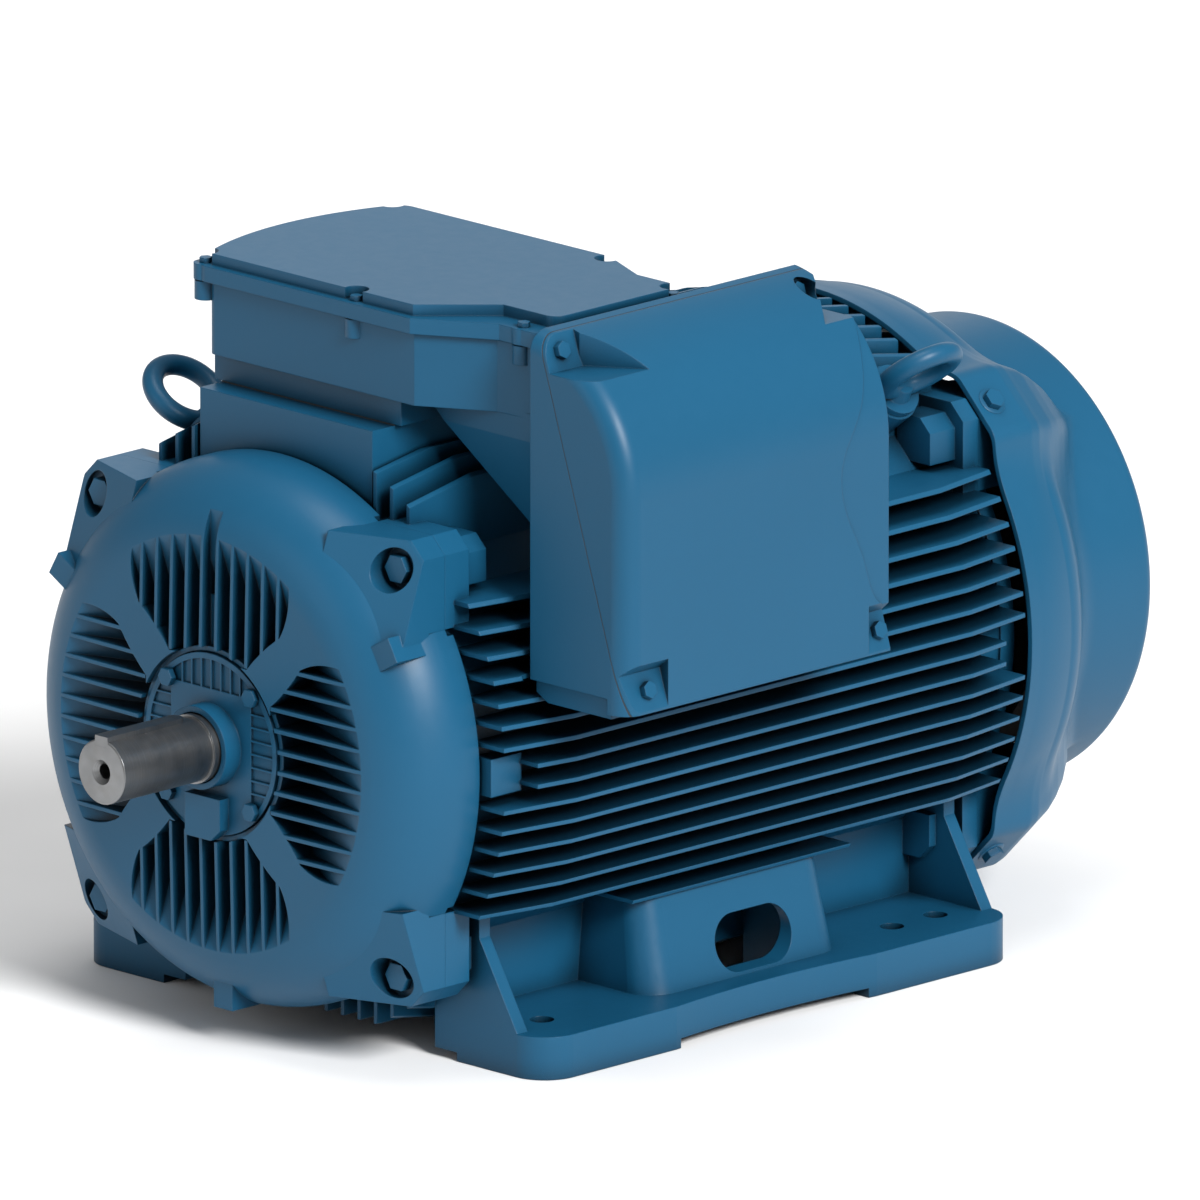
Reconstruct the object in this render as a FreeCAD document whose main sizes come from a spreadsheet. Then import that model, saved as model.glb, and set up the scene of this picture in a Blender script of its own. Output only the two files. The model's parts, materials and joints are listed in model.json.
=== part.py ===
"""Foot-mounted electric motor, frame size 355, as separate pieces.

All lengths are millimetres, +Z up.  The origin is the centre of the foot-hole
rectangle, on the plane that the feet stand on.  The shaft lies along Y, its
driving end towards -Y, and the terminal box is on the +X side.
"""
import FreeCAD, Part
import math
import os

import Sketcher
from FreeCAD import Placement, Rotation, Vector

DOC = FreeCAD.newDocument("ElectricMotor")
SHEET = DOC.addObject("Spreadsheet::Sheet", "Sizes")

# ---------------------------------------------------------------- driving sizes

DRIVING = {
    # standard frame 355 M/L interface
    "axis_height": 355,
    "foot_hole_half_span": 305,
    "foot_hole_near": 245,
    "foot_hole_far": 315,
    "foot_hole_radius": 14,
    "foot_thickness": 50,
    "foot_inner_x": 235,
    "foot_outer_x": 375,
    "foot_half_length": 380,
    # shaft and key
    "shaft_end_y": -709,
    "shaft_shoulder_y": -569,
    "shaft_end_radius": 37.5,
    "shaft_tail_y": 640,
    "key_width": 20,
    "key_height": 12,
    "key_length": 125,
    "key_seat": 30,
    "fan_seat_radius": 30,
    # bearings, driving end 80 x 170 x 39 and fan end 70 x 150 x 35
    "de_bore": 40,
    "de_outer": 85,
    "de_front_y": -505,
    "de_width": 39,
    "de_ball": 14.3,
    "nde_bore": 35,
    "nde_outer": 75,
    "nde_front_y": 445,
    "nde_width": 35,
    "nde_ball": 12.7,
    "balls": 8,
    # stator and rotor
    "core_front_y": -235,
    "core_back_y": 205,
    "core_radius": 285,
    "stator_bore": 155,
    "rotor_radius": 152.5,
    "rotor_bore": 62,
    "slots": 48,
    "rotor_bars": 40,
    # frame casting
    "frame_front_y": -434,
    "frame_back_y": 417,
    "barrel_radius": 305,
    "frame_bore": 292.3,
    "lug_reach": 271,
    "lug_low": 165,
    "lug_chamfer": 20,
    "lug_bolt": 237,
    "fin_thickness": 5,
    "side_fin_pitch": 24.2,
    "top_fin_pitch": 26.4,
    "fin_front_y": -420,
    "fin_back_y": 413,
    "fin_end_radius": 352.5,
    "fin_radius": 368,
    "top_pad_half_width": 137.7,
    "top_pad_front_y": -416.5,
    "top_pad_back_y": -96,
    "top_pad_z": 722,
    # end shields
    "shield_face_y": -541,
    "shield_rim_radius": 317,
    "shield_bolt_seat_y": -466,
    "back_shield_seat_y": 465,
    # outer bearing caps
    "cap_face_y": -536,
    "cap_seat_y": -512,
    "cap_radius": 105,
    "cap_bolt": 66.5,
    # cooling fan and its cover
    "fan_radius": 240,
    "cover_front_y": 421,
    "cover_front_radius": 354,
    "cover_back_y": 705.6,
    "drum_radius": 271,
    "cover_wall": 6,
    "ear_reach": 295,
    "ear_land": 374,
    # adaptor between frame and terminal box
    "adaptor_half_width": 149,
    "adaptor_front_y": -382,
    "adaptor_back_y": -96,
    "adaptor_flange_z": 755.6,
    "adaptor_top_z": 839,
    "adaptor_plate_z": 859,
    "adaptor_lid_z": 872,
    # terminal box
    "box_left_y": -373,
    "box_right_y": 48,
    "box_bottom_z": 465,
    "box_front_bar_x": 467,
    "box_front_bar_z": 447,
    "box_back_x": 345,
    "box_front_x": 497,
    "box_curve_x": 322.5,
    "box_curve_z": 695,
    "gland_plate_z": 440,
    # fasteners
    "m20_flats": 30,
    "m12_flats": 19,
    "m10_flats": 17,
    "m8_flats": 13,
}


class Size:
    """A number that comes from the sheet, with the expression that finds it."""

    def __init__(self, value, text):
        self.value = float(value)
        self.text = text

    def __float__(self):
        return self.value

    def __neg__(self):
        return Size(-self.value, "(-1 * %s)" % self.text)

    def __add__(self, other):
        return Size(self.value + float(other), "(%s + %s)" % (self.text, text_of(other)))

    def __sub__(self, other):
        return Size(self.value - float(other), "(%s - %s)" % (self.text, text_of(other)))

    def __mul__(self, other):
        return Size(self.value * float(other), "(%s * %s)" % (self.text, text_of(other)))

    def __rsub__(self, other):
        return -self + other

    __radd__ = __add__
    __rmul__ = __mul__


def text_of(amount):
    """An amount as it is written in an expression."""
    return amount.text if isinstance(amount, Size) else "(%.6f)" % amount


class Sizes:
    """The driving sizes by name, each bound to its own cell of the sheet."""


def fill_sheet():
    for row, (name, value) in enumerate(DRIVING.items(), start=1):
        SHEET.set("A%d" % row, name.replace("_", " "))
        SHEET.set("B%d" % row, str(value))
        SHEET.setAlias("B%d" % row, name)
        setattr(Sizes, name, Size(value, "Sizes." + name))
    DOC.recompute()


fill_sheet()
AXIS = Sizes.axis_height
FINISHED = []


# ---------------------------------------------------------------- building tools

def bind(thing, path, amount):
    """Tie one property to the sheet where its amount comes from there."""
    if isinstance(amount, Size):
        thing.setExpression(path, amount.text)


def place(thing, position, turn=Rotation()):
    thing.Placement = Placement(Vector(*[float(part) for part in position]), turn)
    for axis, amount in zip("xyz", position):
        bind(thing, "Placement.Base." + axis, amount)
    return thing


def keep(thing, label):
    """Mark an object as one finished piece of the motor."""
    thing.Label = label
    FINISHED.append(thing)
    return thing


def primitive(kind, position, turn=Rotation(), **amounts):
    thing = DOC.addObject("Part::" + kind, kind.lower())
    for prop, amount in amounts.items():
        setattr(thing, prop, int(amount) if prop == "Polygon" else float(amount))
        bind(thing, prop, amount)
    return place(thing, position, turn)


def box(low, high):
    """Box between two opposite corners."""
    spans = [end - start for start, end in zip(low, high)]
    return primitive("Box", low, Length=spans[0], Width=spans[1], Height=spans[2])


ALONG = {
    "x": Rotation(Vector(0, 1, 0), 90),
    "y": Rotation(Vector(1, 0, 0), -90),
    "z": Rotation(),
}


def rod(radius, start, length, along="y"):
    """Cylinder from a start point, towards the positive end of an axis."""
    return primitive("Cylinder", start, ALONG[along], Radius=radius, Height=length)


def joined(kind, pieces):
    thing = DOC.addObject(kind, "group")
    thing.Shapes = pieces
    return thing


def fuse(pieces):
    return joined("Part::MultiFuse", pieces)


def common(pieces):
    return joined("Part::MultiCommon", pieces)


def compound(pieces):
    """Several separate solids kept as one piece."""
    thing = DOC.addObject("Part::Compound", "set")
    thing.Links = pieces
    return thing


def cut(base, tool):
    thing = DOC.addObject("Part::Cut", "cut")
    thing.Base = base
    thing.Tool = tool
    return thing


def feature(shape, shift=(0, 0, 0)):
    """Piece made straight from a shape, moved on by a shift."""
    thing = DOC.addObject("Part::Feature", "shape")
    thing.Shape = shape
    thing.Placement = Placement(Vector(*shift), Rotation()) * thing.Placement
    return thing


def sketch_in(body, role):
    """New sketch on one of the body's own origin planes."""
    sketch = body.newObject("Sketcher::SketchObject", "outline")
    plane = [item for item in body.Origin.OriginFeatures if item.Role == role][0]
    sketch.AttachmentSupport = [(plane, "")]
    sketch.MapMode = "FlatFace"
    return sketch


def arc_through(start, end, bend):
    """Counter-clockwise arc of radius |bend|; a positive bend turns left."""
    chord = end - start
    middle = (start + end) * 0.5
    normal = Vector(-chord.y, chord.x, 0).normalize()
    rise = math.sqrt(max(bend * bend - (chord.Length / 2) ** 2, 0))
    centre = middle + normal * (rise if bend > 0 else -rise)
    first, last = (start, end) if bend > 0 else (end, start)
    low = math.atan2(first.y - centre.y, first.x - centre.x)
    high = math.atan2(last.y - centre.y, last.x - centre.x)
    if high <= low:
        high += 2 * math.pi
    circle = Part.Circle(centre, Vector(0, 0, 1), abs(bend))
    return Part.ArcOfCircle(circle, low, high)


def draw_outline(sketch, corners):
    """Closed outline; a third number bends the edge that arrives at a corner."""
    count = len(corners)
    spots = [Vector(float(corner[0]), float(corner[1]), 0) for corner in corners]
    ends = []
    base = sketch.GeometryCount
    for index in range(count):
        arriving = corners[(index + 1) % count]
        start, end = spots[index], spots[(index + 1) % count]
        bend = float(arriving[2]) if len(arriving) > 2 else 0
        edge = arc_through(start, end, bend) if bend else Part.LineSegment(start, end)
        sketch.addGeometry(edge, False)
        ends.append((2, 1) if bend < 0 else (1, 2))
        if bend:
            sketch.addConstraint(Sketcher.Constraint("Radius", base + index, abs(bend)))
    for index in range(count):
        following = (index + 1) % count
        sketch.addConstraint(Sketcher.Constraint(
            "Coincident", base + index, ends[index][1], base + following, ends[following][0]))
    for index, corner in enumerate(corners):
        for kind, amount in zip(("DistanceX", "DistanceY"), corner[:2]):
            number = sketch.addConstraint(Sketcher.Constraint(
                kind, base + index, ends[index][0], float(amount)))
            bind(sketch, "Constraints[%d]" % number, amount)


def shaft_body(name):
    """Body whose own Y axis is the shaft's centre line."""
    return place(DOC.addObject("PartDesign::Body", name), (0, 0, AXIS))


def turned(name, corners):
    """Solid turned about the shaft's centre line from (radius, y) corners."""
    body = shaft_body(name)
    sketch = sketch_in(body, "XY_Plane")
    draw_outline(sketch, corners)
    turn = body.newObject("PartDesign::Revolution", "turn")
    turn.Profile = sketch
    turn.ReferenceAxis = (sketch, ["V_Axis"])
    turn.Angle = 360
    return body


def padded(name, role, outlines, start, length, height=0):
    """Solid pushed out from closed outlines drawn on an origin plane.

    The plane XZ_Plane looks along Y with its first axis on X and its second
    on Z; XY_Plane looks along Z; YZ_Plane looks along X.  The body is moved
    by start along the pushing direction and by height upwards.
    """
    body = DOC.addObject("PartDesign::Body", name)
    shift = {
        "XZ_Plane": (0, start, height),
        "XY_Plane": (0, 0, start),
        "YZ_Plane": (start, 0, height),
    }
    place(body, shift[role])
    sketch = sketch_in(body, role)
    for outline in outlines:
        draw_outline(sketch, outline)
    pad = body.newObject("PartDesign::Pad", "push")
    pad.Profile = sketch
    pad.Length = float(length)
    bind(pad, "Length", length)
    pad.Reversed = role == "XZ_Plane"
    return body


def rectangle(low_x, low_y, high_x, high_y):
    return [(low_x, low_y), (high_x, low_y), (high_x, high_y), (low_x, high_y)]


def hex_bolt(seat, direction, flats, shank_radius, shank_length, head):
    """Hexagon bolt: the head stands on its seat, the shank goes the other way."""
    turn = Rotation(Vector(0, 0, 1), Vector(*direction))
    away = Vector(*direction).normalize()
    corner_radius = flats * (0.5 / math.cos(math.pi / 6))
    prism = primitive("Prism", seat, turn, Polygon=6, Circumradius=corner_radius, Height=head)
    shank_start = [place_part - away_part * shank_length
                   for place_part, away_part in zip(seat, away)]
    shank = primitive("Cylinder", shank_start, turn, Radius=shank_radius, Height=shank_length)
    return fuse([prism, shank])


def four_corners(reach):
    return [(side * reach, rise * reach) for side in (-1, 1) for rise in (-1, 1)]


def polygon_solid(points, push):
    """Prism from a closed polygon of points and a push vector."""
    wire = Part.makePolygon([Vector(*point) for point in points + points[:1]])
    return Part.Face(wire).extrude(Vector(*push))


def moved(shape, turn_degrees):
    """Copy of a shape turned about the shaft's centre line."""
    copy = shape.copy()
    copy.rotate(Vector(0, 0, float(AXIS)), Vector(0, 1, 0), turn_degrees)
    return copy


# ---------------------------------------------------------------- rotating parts

SHAFT_CHAMFER = 1.5
COLLAR_RADIUS = 40
NDE_SHOULDER_RADIUS = 42


def make_shaft():
    s = Sizes
    body = turned("shaft_body", [
        (0, s.shaft_end_y),
        (s.shaft_end_radius - SHAFT_CHAMFER, s.shaft_end_y),
        (s.shaft_end_radius, s.shaft_end_y + SHAFT_CHAMFER),
        (s.shaft_end_radius, s.shaft_shoulder_y),
        (COLLAR_RADIUS, s.shaft_shoulder_y),
        (COLLAR_RADIUS, s.shaft_shoulder_y + 6),
        (COLLAR_RADIUS - 0.8, s.shaft_shoulder_y + 7),
        (COLLAR_RADIUS - 0.8, s.shaft_shoulder_y + 24),
        (s.de_bore, s.shaft_shoulder_y + 25),
        (s.de_bore, s.de_front_y + s.de_width),
        (46, s.de_front_y + s.de_width),
        (46, -420),
        (56, -405),
        (56, -300),
        (s.rotor_bore, -294),
        (s.rotor_bore, 240),
        (56, 246),
        (56, 398),
        (NDE_SHOULDER_RADIUS, 412),
        (NDE_SHOULDER_RADIUS, s.nde_front_y),
        (s.nde_bore, s.nde_front_y),
        (s.nde_bore, 512),
        (s.fan_seat_radius, 514),
        (s.fan_seat_radius, s.shaft_tail_y - SHAFT_CHAMFER),
        (s.fan_seat_radius - SHAFT_CHAMFER, s.shaft_tail_y),
        (0, s.shaft_tail_y),
    ])
    place(body, (0, 0, AXIS), SEAM_UP)
    half = s.key_width * 0.5
    slot_end = s.shaft_end_y + s.key_length - half
    slot = box((-half, s.shaft_end_y - 1, AXIS + s.key_seat),
               (half, slot_end, AXIS + s.shaft_end_radius + 1))
    slot_round = rod(half, (0, slot_end, AXIS + s.key_seat), 10, "z")
    drill = rod(8.75, (0, s.shaft_end_y - 1, AXIS), 54)
    mouth = primitive("Cone", (0, s.shaft_end_y - 1, AXIS), ALONG["y"],
                      Radius1=15.5, Radius2=8.75, Height=7)
    fan_slot = box((-FAN_KEY_HALF, FAN_KEY_FRONT, AXIS + FAN_KEY_SEAT),
                   (FAN_KEY_HALF, FAN_KEY_BACK, AXIS + s.fan_seat_radius + 1))
    ring_groove = cut(rod(40, (0, 592, AXIS), 2.6), rod(28.4, (0, 591, AXIS), 5))
    keep(cut(body, fuse([slot, slot_round, drill, mouth, fan_slot, ring_groove])), "shaft")


SEAM_UP = Rotation(Vector(0, 1, 0), -90)
FAN_KEY_HALF = 7
FAN_KEY_FRONT = 540
FAN_KEY_BACK = 580
FAN_KEY_SEAT = 24.5


def make_keys():
    s = Sizes
    half = s.key_width * 0.5
    round_start = s.shaft_end_y + s.key_length - half
    bottom = AXIS + s.key_seat
    bar = box((-half, s.shaft_end_y, bottom), (half, round_start, bottom + s.key_height))
    end = rod(half, (0, round_start, bottom), s.key_height, "z")
    keep(fuse([bar, end]), "shaft_key")
    fan_key = box((-FAN_KEY_HALF, FAN_KEY_FRONT, AXIS + FAN_KEY_SEAT),
                  (FAN_KEY_HALF, FAN_KEY_BACK, AXIS + 33.4))
    keep(fan_key, "fan_key")


def make_bearing(side, bore, outer, front, width, ball):
    """Deep-groove ball bearing: two rings, a set of balls and their cage."""
    pitch = (bore + outer) * 0.5
    middle = front + width * 0.5
    groove = float(ball) + 0.3
    shoulder = 0.77 * float(ball)
    half_chord = math.sqrt(groove ** 2 - shoulder ** 2)
    inner_edge = pitch - shoulder
    outer_edge = pitch + shoulder
    back = front + width
    keep(turned("inner", [
        (bore, front), (inner_edge, front), (inner_edge, middle - half_chord),
        (inner_edge, middle + half_chord, -groove), (inner_edge, back), (bore, back),
    ]), "bearing_inner_ring_" + side)
    keep(turned("outer", [
        (outer, front), (outer, back), (outer_edge, back), (outer_edge, middle + half_chord),
        (outer_edge, middle - half_chord, -groove), (outer_edge, front),
    ]), "bearing_outer_ring_" + side)

    spots = []
    for number in range(DRIVING["balls"]):
        angle = 2 * math.pi * number / DRIVING["balls"]
        spots.append((pitch * math.cos(angle), middle, AXIS + pitch * math.sin(angle)))
    spheres = [primitive("Sphere", spot, Radius=ball) for spot in spots]
    keep(compound(spheres), "bearing_balls_" + side)
    half_web = 4.2
    half_cage = ball + 1.4
    web = turned("cage", [
        (pitch - half_web, middle - half_cage), (pitch + half_web, middle - half_cage),
        (pitch + half_web, middle + half_cage), (pitch - half_web, middle + half_cage),
    ])
    pockets = []
    for spot in spots:
        outward = Vector(spot[0], 0, spot[2] - AXIS)
        depth = float(half_web) + 5
        start = Vector(*[float(part) for part in spot]) - outward.normalize() * depth
        pockets.append(feature(Part.makeCylinder(float(ball) + 0.2, 2 * depth, start, outward)))
    keep(cut(web, fuse(pockets)), "bearing_cage_" + side)


def make_seal_rings():
    """Rings that turn with the shaft and close the bearing chambers."""
    for side, seat, front in (("de", Sizes.de_bore, -529.5), ("nde", Sizes.nde_bore, 496.8)):
        keep(turned("seal", [
            (seat, front), (seat + 6, front), (seat + 10, front + 1.2), (seat + 10, front + 2.2),
            (seat + 4, front + 2.2), (seat + 4, front + 4), (seat, front + 4),
        ]), "seal_ring_" + side)


def laminations(name, outer, bore, slot_outline, slot_circle, count):
    """Stack of sheets with a ring of equal slots or round holes through it."""
    s = Sizes
    length = s.core_back_y - s.core_front_y
    body = place(DOC.addObject("PartDesign::Body", name), (0, s.core_front_y, AXIS))
    sketch = sketch_in(body, "XZ_Plane")
    for number, radius in enumerate((outer, bore)):
        sketch.addGeometry(Part.Circle(Vector(), Vector(0, 0, 1), float(radius)), False)
        sketch.addConstraint(Sketcher.Constraint("Coincident", number, 3, -1, 1))
        index = sketch.addConstraint(Sketcher.Constraint("Radius", number, float(radius)))
        bind(sketch, "Constraints[%d]" % index, radius)
    pad = body.newObject("PartDesign::Pad", "stack")
    pad.Profile = sketch
    pad.Length = float(length)
    bind(pad, "Length", length)
    pad.Reversed = True
    DOC.recompute()
    solid_volume = body.Shape.Volume

    holes = sketch_in(body, "XZ_Plane")
    if slot_outline:
        draw_outline(holes, slot_outline)
    else:
        height, radius = slot_circle
        holes.addGeometry(Part.Circle(Vector(0, height, 0), Vector(0, 0, 1), radius), False)
        holes.addConstraint(Sketcher.Constraint("DistanceX", 0, 3, 0))
        holes.addConstraint(Sketcher.Constraint("DistanceY", 0, 3, height))
        holes.addConstraint(Sketcher.Constraint("Radius", 0, radius))
    pocket = body.newObject("PartDesign::Pocket", "slot")
    pocket.Profile = holes
    pocket.Type = "ThroughAll"
    ring = body.newObject("PartDesign::PolarPattern", "slot_ring")
    ring.Originals = [pocket]
    ring.Axis = (holes, ["N_Axis"])
    ring.Angle = 360
    ring.Occurrences = int(float(count))
    bind(ring, "Occurrences", count)
    body.Tip = ring
    DOC.recompute()
    if body.Shape.Volume > solid_volume - 1000:
        raise RuntimeError("the slots of %s cut nothing" % name)
    return body


BAR_CIRCLE = 140
BAR_RADIUS = 4.5


def make_rotor():
    s = Sizes
    keep(laminations("rotor_stack", s.rotor_radius, s.rotor_bore, None,
                     (BAR_CIRCLE, BAR_RADIUS), s.rotor_bars), "rotor_core")
    rings = []
    for face, away in ((s.core_front_y, -1), (s.core_back_y, 1)):
        rings.append(turned("end_ring", [
            (112, face), (149, face), (149, face + 24 * away),
            (144, face + 28 * away), (117, face + 28 * away), (112, face + 24 * away),
        ]))
    bars = []
    for number in range(DRIVING["rotor_bars"]):
        angle = math.pi / 2 + 2 * math.pi * number / DRIVING["rotor_bars"]
        start = (BAR_CIRCLE * math.cos(angle), s.core_front_y, AXIS + BAR_CIRCLE * math.sin(angle))
        bars.append(rod(BAR_RADIUS - 0.05, start, s.core_back_y - s.core_front_y))
    keep(compound(rings + bars), "rotor_cage")


def make_fan():
    """Radial fan that works in either direction: hub, back plate, straight blades."""
    s = Sizes
    wheel = turned("fan_wheel", [
        (s.fan_seat_radius + 0.05, 530), (48, 530), (56, 545), (s.fan_radius - 12, 560),
        (s.fan_radius - 12, 566), (56, 556), (48, 590), (s.fan_seat_radius + 0.05, 590),
    ])
    key_space = box((-FAN_KEY_HALF, 529, AXIS), (FAN_KEY_HALF, 591, AXIS + 33.5))
    tip = DRIVING["fan_radius"]
    half = 3.5
    blade = polygon_solid([
        (-half, 558, float(AXIS) + 70), (-half, 562, float(AXIS) + tip - 14),
        (-half, 566, float(AXIS) + tip), (-half, 636, float(AXIS) + tip),
        (-half, 648, float(AXIS) + 165), (-half, 596, float(AXIS) + 70),
    ], (2 * half, 0, 0))
    blades = 9
    vanes = [feature(moved(blade, 360 * (number + 0.5) / blades)) for number in range(blades)]
    keep(cut(fuse([wheel] + vanes), key_space), "fan")
    clip = turned("clip", [(28.6, 592.2), (34, 592.2), (34, 594.4), (28.6, 594.4)])
    gap = box((-3, 590, AXIS - 40), (3, 597, AXIS))
    keep(cut(clip, gap), "fan_retaining_ring")


# ---------------------------------------------------------------- stator

def make_stator():
    s = Sizes
    slot = [(-3.5, s.stator_bore - 1), (3.5, s.stator_bore - 1), (3.5, 200), (-3.5, 200)]
    stack = laminations("stator_stack", s.core_radius - 0.05, s.stator_bore, slot, None, s.slots)
    keep(stack, "stator_core")
    crowns = []
    gap = 3
    for face, away in ((s.core_front_y, -1), (s.core_back_y, 1)):
        near = face + gap * away
        crowns.append(turned("crown", [
            (166, near), (252, near), (268, near + 40 * away), (266, near + 92 * away),
            (248, near + 108 * away), (200, near + 110 * away), (186, near + 100 * away),
            (182, near + 50 * away),
        ]))
    bar = Part.makeBox(6.4, float(s.core_back_y - s.core_front_y) + 2 * gap, 42,
                       Vector(-3.2, float(s.core_front_y) - gap, float(AXIS) + 157.5))
    count = DRIVING["slots"]
    bars = Part.makeCompound([moved(bar, 360 * number / count) for number in range(count)])
    keep(compound(crowns + [feature(bars)]), "stator_winding")


# ---------------------------------------------------------------- frame casting

GUSSET_THICKNESS = 17
WALL_X = 215
EYE_TILT = 52
EYE_SEAT = (214.7, 286.1)
EYE_SPOTS = ((-1, -320), (1, 335))


def corner_outlines(low, reach, chamfer):
    """Chamfered squares at the four corners around the shaft's centre line."""
    outlines = []
    for side in (-1, 1):
        for rise in (-1, 1):
            corners = [(low, low), (reach, low), (reach, reach - chamfer),
                       (reach - chamfer, reach), (low, reach)]
            outlines.append([(side * x, rise * z) for x, z in corners])
    return outlines


def corner_lugs(low, reach, chamfer, start, length, inside):
    """Four lugs outside a round body of the given radius."""
    lugs = padded("lugs", "XZ_Plane", corner_outlines(low, reach, chamfer), start, length, AXIS)
    return cut(lugs, rod(inside, (0, start - 1, AXIS), length + 2))


def eye_direction(side):
    tilt = math.radians(EYE_TILT)
    return Vector(side * math.sin(tilt), 0, math.cos(tilt))


def along_eye(side, y, distance, radius, length):
    """Cylinder on an eyebolt's axis, from a distance beyond its seat."""
    direction = eye_direction(side)
    seat = Vector(side * EYE_SEAT[0], y, float(AXIS) + EYE_SEAT[1])
    return feature(Part.makeCylinder(radius, length, seat + direction * distance, direction))


def fin_offset(index, pitch):
    """Distance of a fin from the middle: the pitch grows slowly outwards."""
    step = index + 0.5
    return pitch * (step * (1 + 0.0012 * step * step))


def fin_envelope():
    s = Sizes
    chamfer_length = 100
    return turned("fin_envelope", [
        (0, s.fin_front_y), (s.fin_end_radius, s.fin_front_y),
        (s.fin_radius, s.fin_front_y + chamfer_length),
        (s.fin_radius, s.fin_back_y - chamfer_length),
        (s.fin_end_radius, s.fin_back_y), (0, s.fin_back_y),
    ])


def frame_fins():
    s = Sizes
    root = s.barrel_radius * 0.62
    half = s.fin_thickness * 0.5
    reach = s.fin_radius + 2
    plates = []
    for index in range(8):
        offset = fin_offset(index, s.side_fin_pitch)
        front, back = s.fin_front_y, s.fin_back_y
        if index == 0:
            front, back = s.fin_front_y + 45, s.fin_back_y - 38
        for rise in (-1, 1):
            level = AXIS + offset * rise
            low_front, low_back = (-178, 170) if (index == 7 and rise < 0) else (front, back)
            for side in (-1, 1):
                inner, outer = sorted((side * root, side * reach), key=float)
                plates.append(box((inner, low_front, level - half), (outer, low_back, level + half)))
    for index in range(8):
        offset = s.top_fin_pitch * (index + 0.5)
        for side in (-1, 1):
            across = offset * side
            plates.append(box((across - half, s.fin_front_y, AXIS + root),
                              (across + half, s.fin_back_y, AXIS + reach)))
            plates.append(box((across - half, s.fin_front_y, 34),
                              (across + half, s.fin_back_y, AXIS - root)))
    return common([fuse(plates), fin_envelope()])


def clear_of_fins():
    """Spaces where neighbouring parts need the fins cut back."""
    s = Sizes
    spaces = [
        box((s.box_back_x - 8, s.box_left_y - 8, s.box_bottom_z - 8),
            (420, s.box_right_y + 8, 700)),
        box((-s.top_pad_half_width - 14, -440, AXIS + 335),
            (s.top_pad_half_width + 14, s.top_pad_back_y + 14, 760)),
        box((-s.top_pad_half_width, -440, AXIS + 250), (s.top_pad_half_width, s.top_pad_front_y, 760)),
    ]
    for side, y in EYE_SPOTS:
        spaces.append(along_eye(side, y, -12, 40, 130))
    return fuse(spaces)


def foot_side():
    """Right-hand foot: plate, end gussets, inner wall and hollow middle block."""
    s = Sizes
    corner = 45
    inner = WALL_X - 15
    waist_radius = 1285
    plate = padded("foot_plate", "XY_Plane", [[
        (s.foot_inner_x, -s.foot_half_length),
        (s.foot_outer_x - corner, -s.foot_half_length),
        (s.foot_outer_x, -s.foot_half_length + corner, corner),
        (s.foot_outer_x, -170),
        (s.foot_outer_x, 150, -waist_radius),
        (s.foot_outer_x, s.foot_half_length - corner),
        (s.foot_outer_x - corner, s.foot_half_length, corner),
        (s.foot_inner_x, s.foot_half_length),
    ]], 0, s.foot_thickness)
    inner_strip = box((inner, -s.foot_half_length, 10),
                      (s.foot_inner_x, s.foot_half_length, s.foot_thickness))
    wall = box((inner, -s.foot_half_length, s.foot_thickness), (WALL_X, s.foot_half_length, 165))
    gusset_outline = [(inner, 40), (331, s.foot_thickness), (s.lug_reach, 150),
                      (s.lug_reach, 190), (inner, 190)]
    front_gusset = padded("gusset", "XZ_Plane", [gusset_outline],
                          -s.foot_half_length, GUSSET_THICKNESS)
    back_gusset = padded("gusset", "XZ_Plane", [gusset_outline],
                         s.foot_half_length - GUSSET_THICKNESS, GUSSET_THICKNESS)
    lower = Part.Wire(rounded_loop(190, -168, 333, 143, 38, 48))
    upper = Part.Wire(rounded_loop(190, -158, 306, 133, 30, 158))
    block = feature(Part.makeLoft([lower, upper], True, True))
    solid = fuse([plate, inner_strip, wall, front_gusset, back_gusset, block])

    relief = box((s.foot_inner_x - 60, -162, -1), (420, 139, 11))
    chamber = box((170, -128, -1), (306, 112, 136))
    window_z = 87
    window_half = 60.5
    window_radius = 33
    window = fuse([
        box((280, 4 - window_half + window_radius, window_z - window_radius),
            (380, 4 + window_half - window_radius, window_z + window_radius)),
        rod(window_radius, (280, 4 - window_half + window_radius, window_z), 100, "x"),
        rod(window_radius, (280, 4 + window_half - window_radius, window_z), 100, "x"),
    ])
    holes = [rod(s.foot_hole_radius, (s.foot_hole_half_span, y, -1), s.foot_thickness + 2, "z")
             for y in (-s.foot_hole_far, s.foot_hole_near, s.foot_hole_far)]
    return cut(solid, fuse([relief, chamber, window] + holes))


def rounded_loop(low_x, low_y, high_x, high_y, radius, z):
    """Edges of a rectangle whose two outer corners are round."""
    bend = radius * (1 - math.sqrt(0.5))
    a, b = Vector(low_x, low_y, z), Vector(high_x - radius, low_y, z)
    c, d = Vector(high_x, low_y + radius, z), Vector(high_x, high_y - radius, z)
    e, f = Vector(high_x - radius, high_y, z), Vector(low_x, high_y, z)
    front = Part.Arc(b, Vector(high_x - bend, low_y + bend, z), c).toShape()
    back = Part.Arc(d, Vector(high_x - bend, high_y - bend, z), e).toShape()
    straight = ((a, b), (c, d), (e, f), (f, a))
    lines = [Part.LineSegment(start, end).toShape() for start, end in straight]
    return [lines[0], front, lines[1], back, lines[2], lines[3]]


def mirrored_x(thing):
    mirror = DOC.addObject("Part::Mirroring", "mirror")
    mirror.Source = thing
    mirror.Base = Vector(0, 0, 0)
    mirror.Normal = Vector(1, 0, 0)
    return mirror


PLATE_PAD = {"low_y": -90, "high_y": 90, "low_z": 402, "high_z": 512, "face_x": -366}
EARTH_X, EARTH_Y = -340, -210


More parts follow.
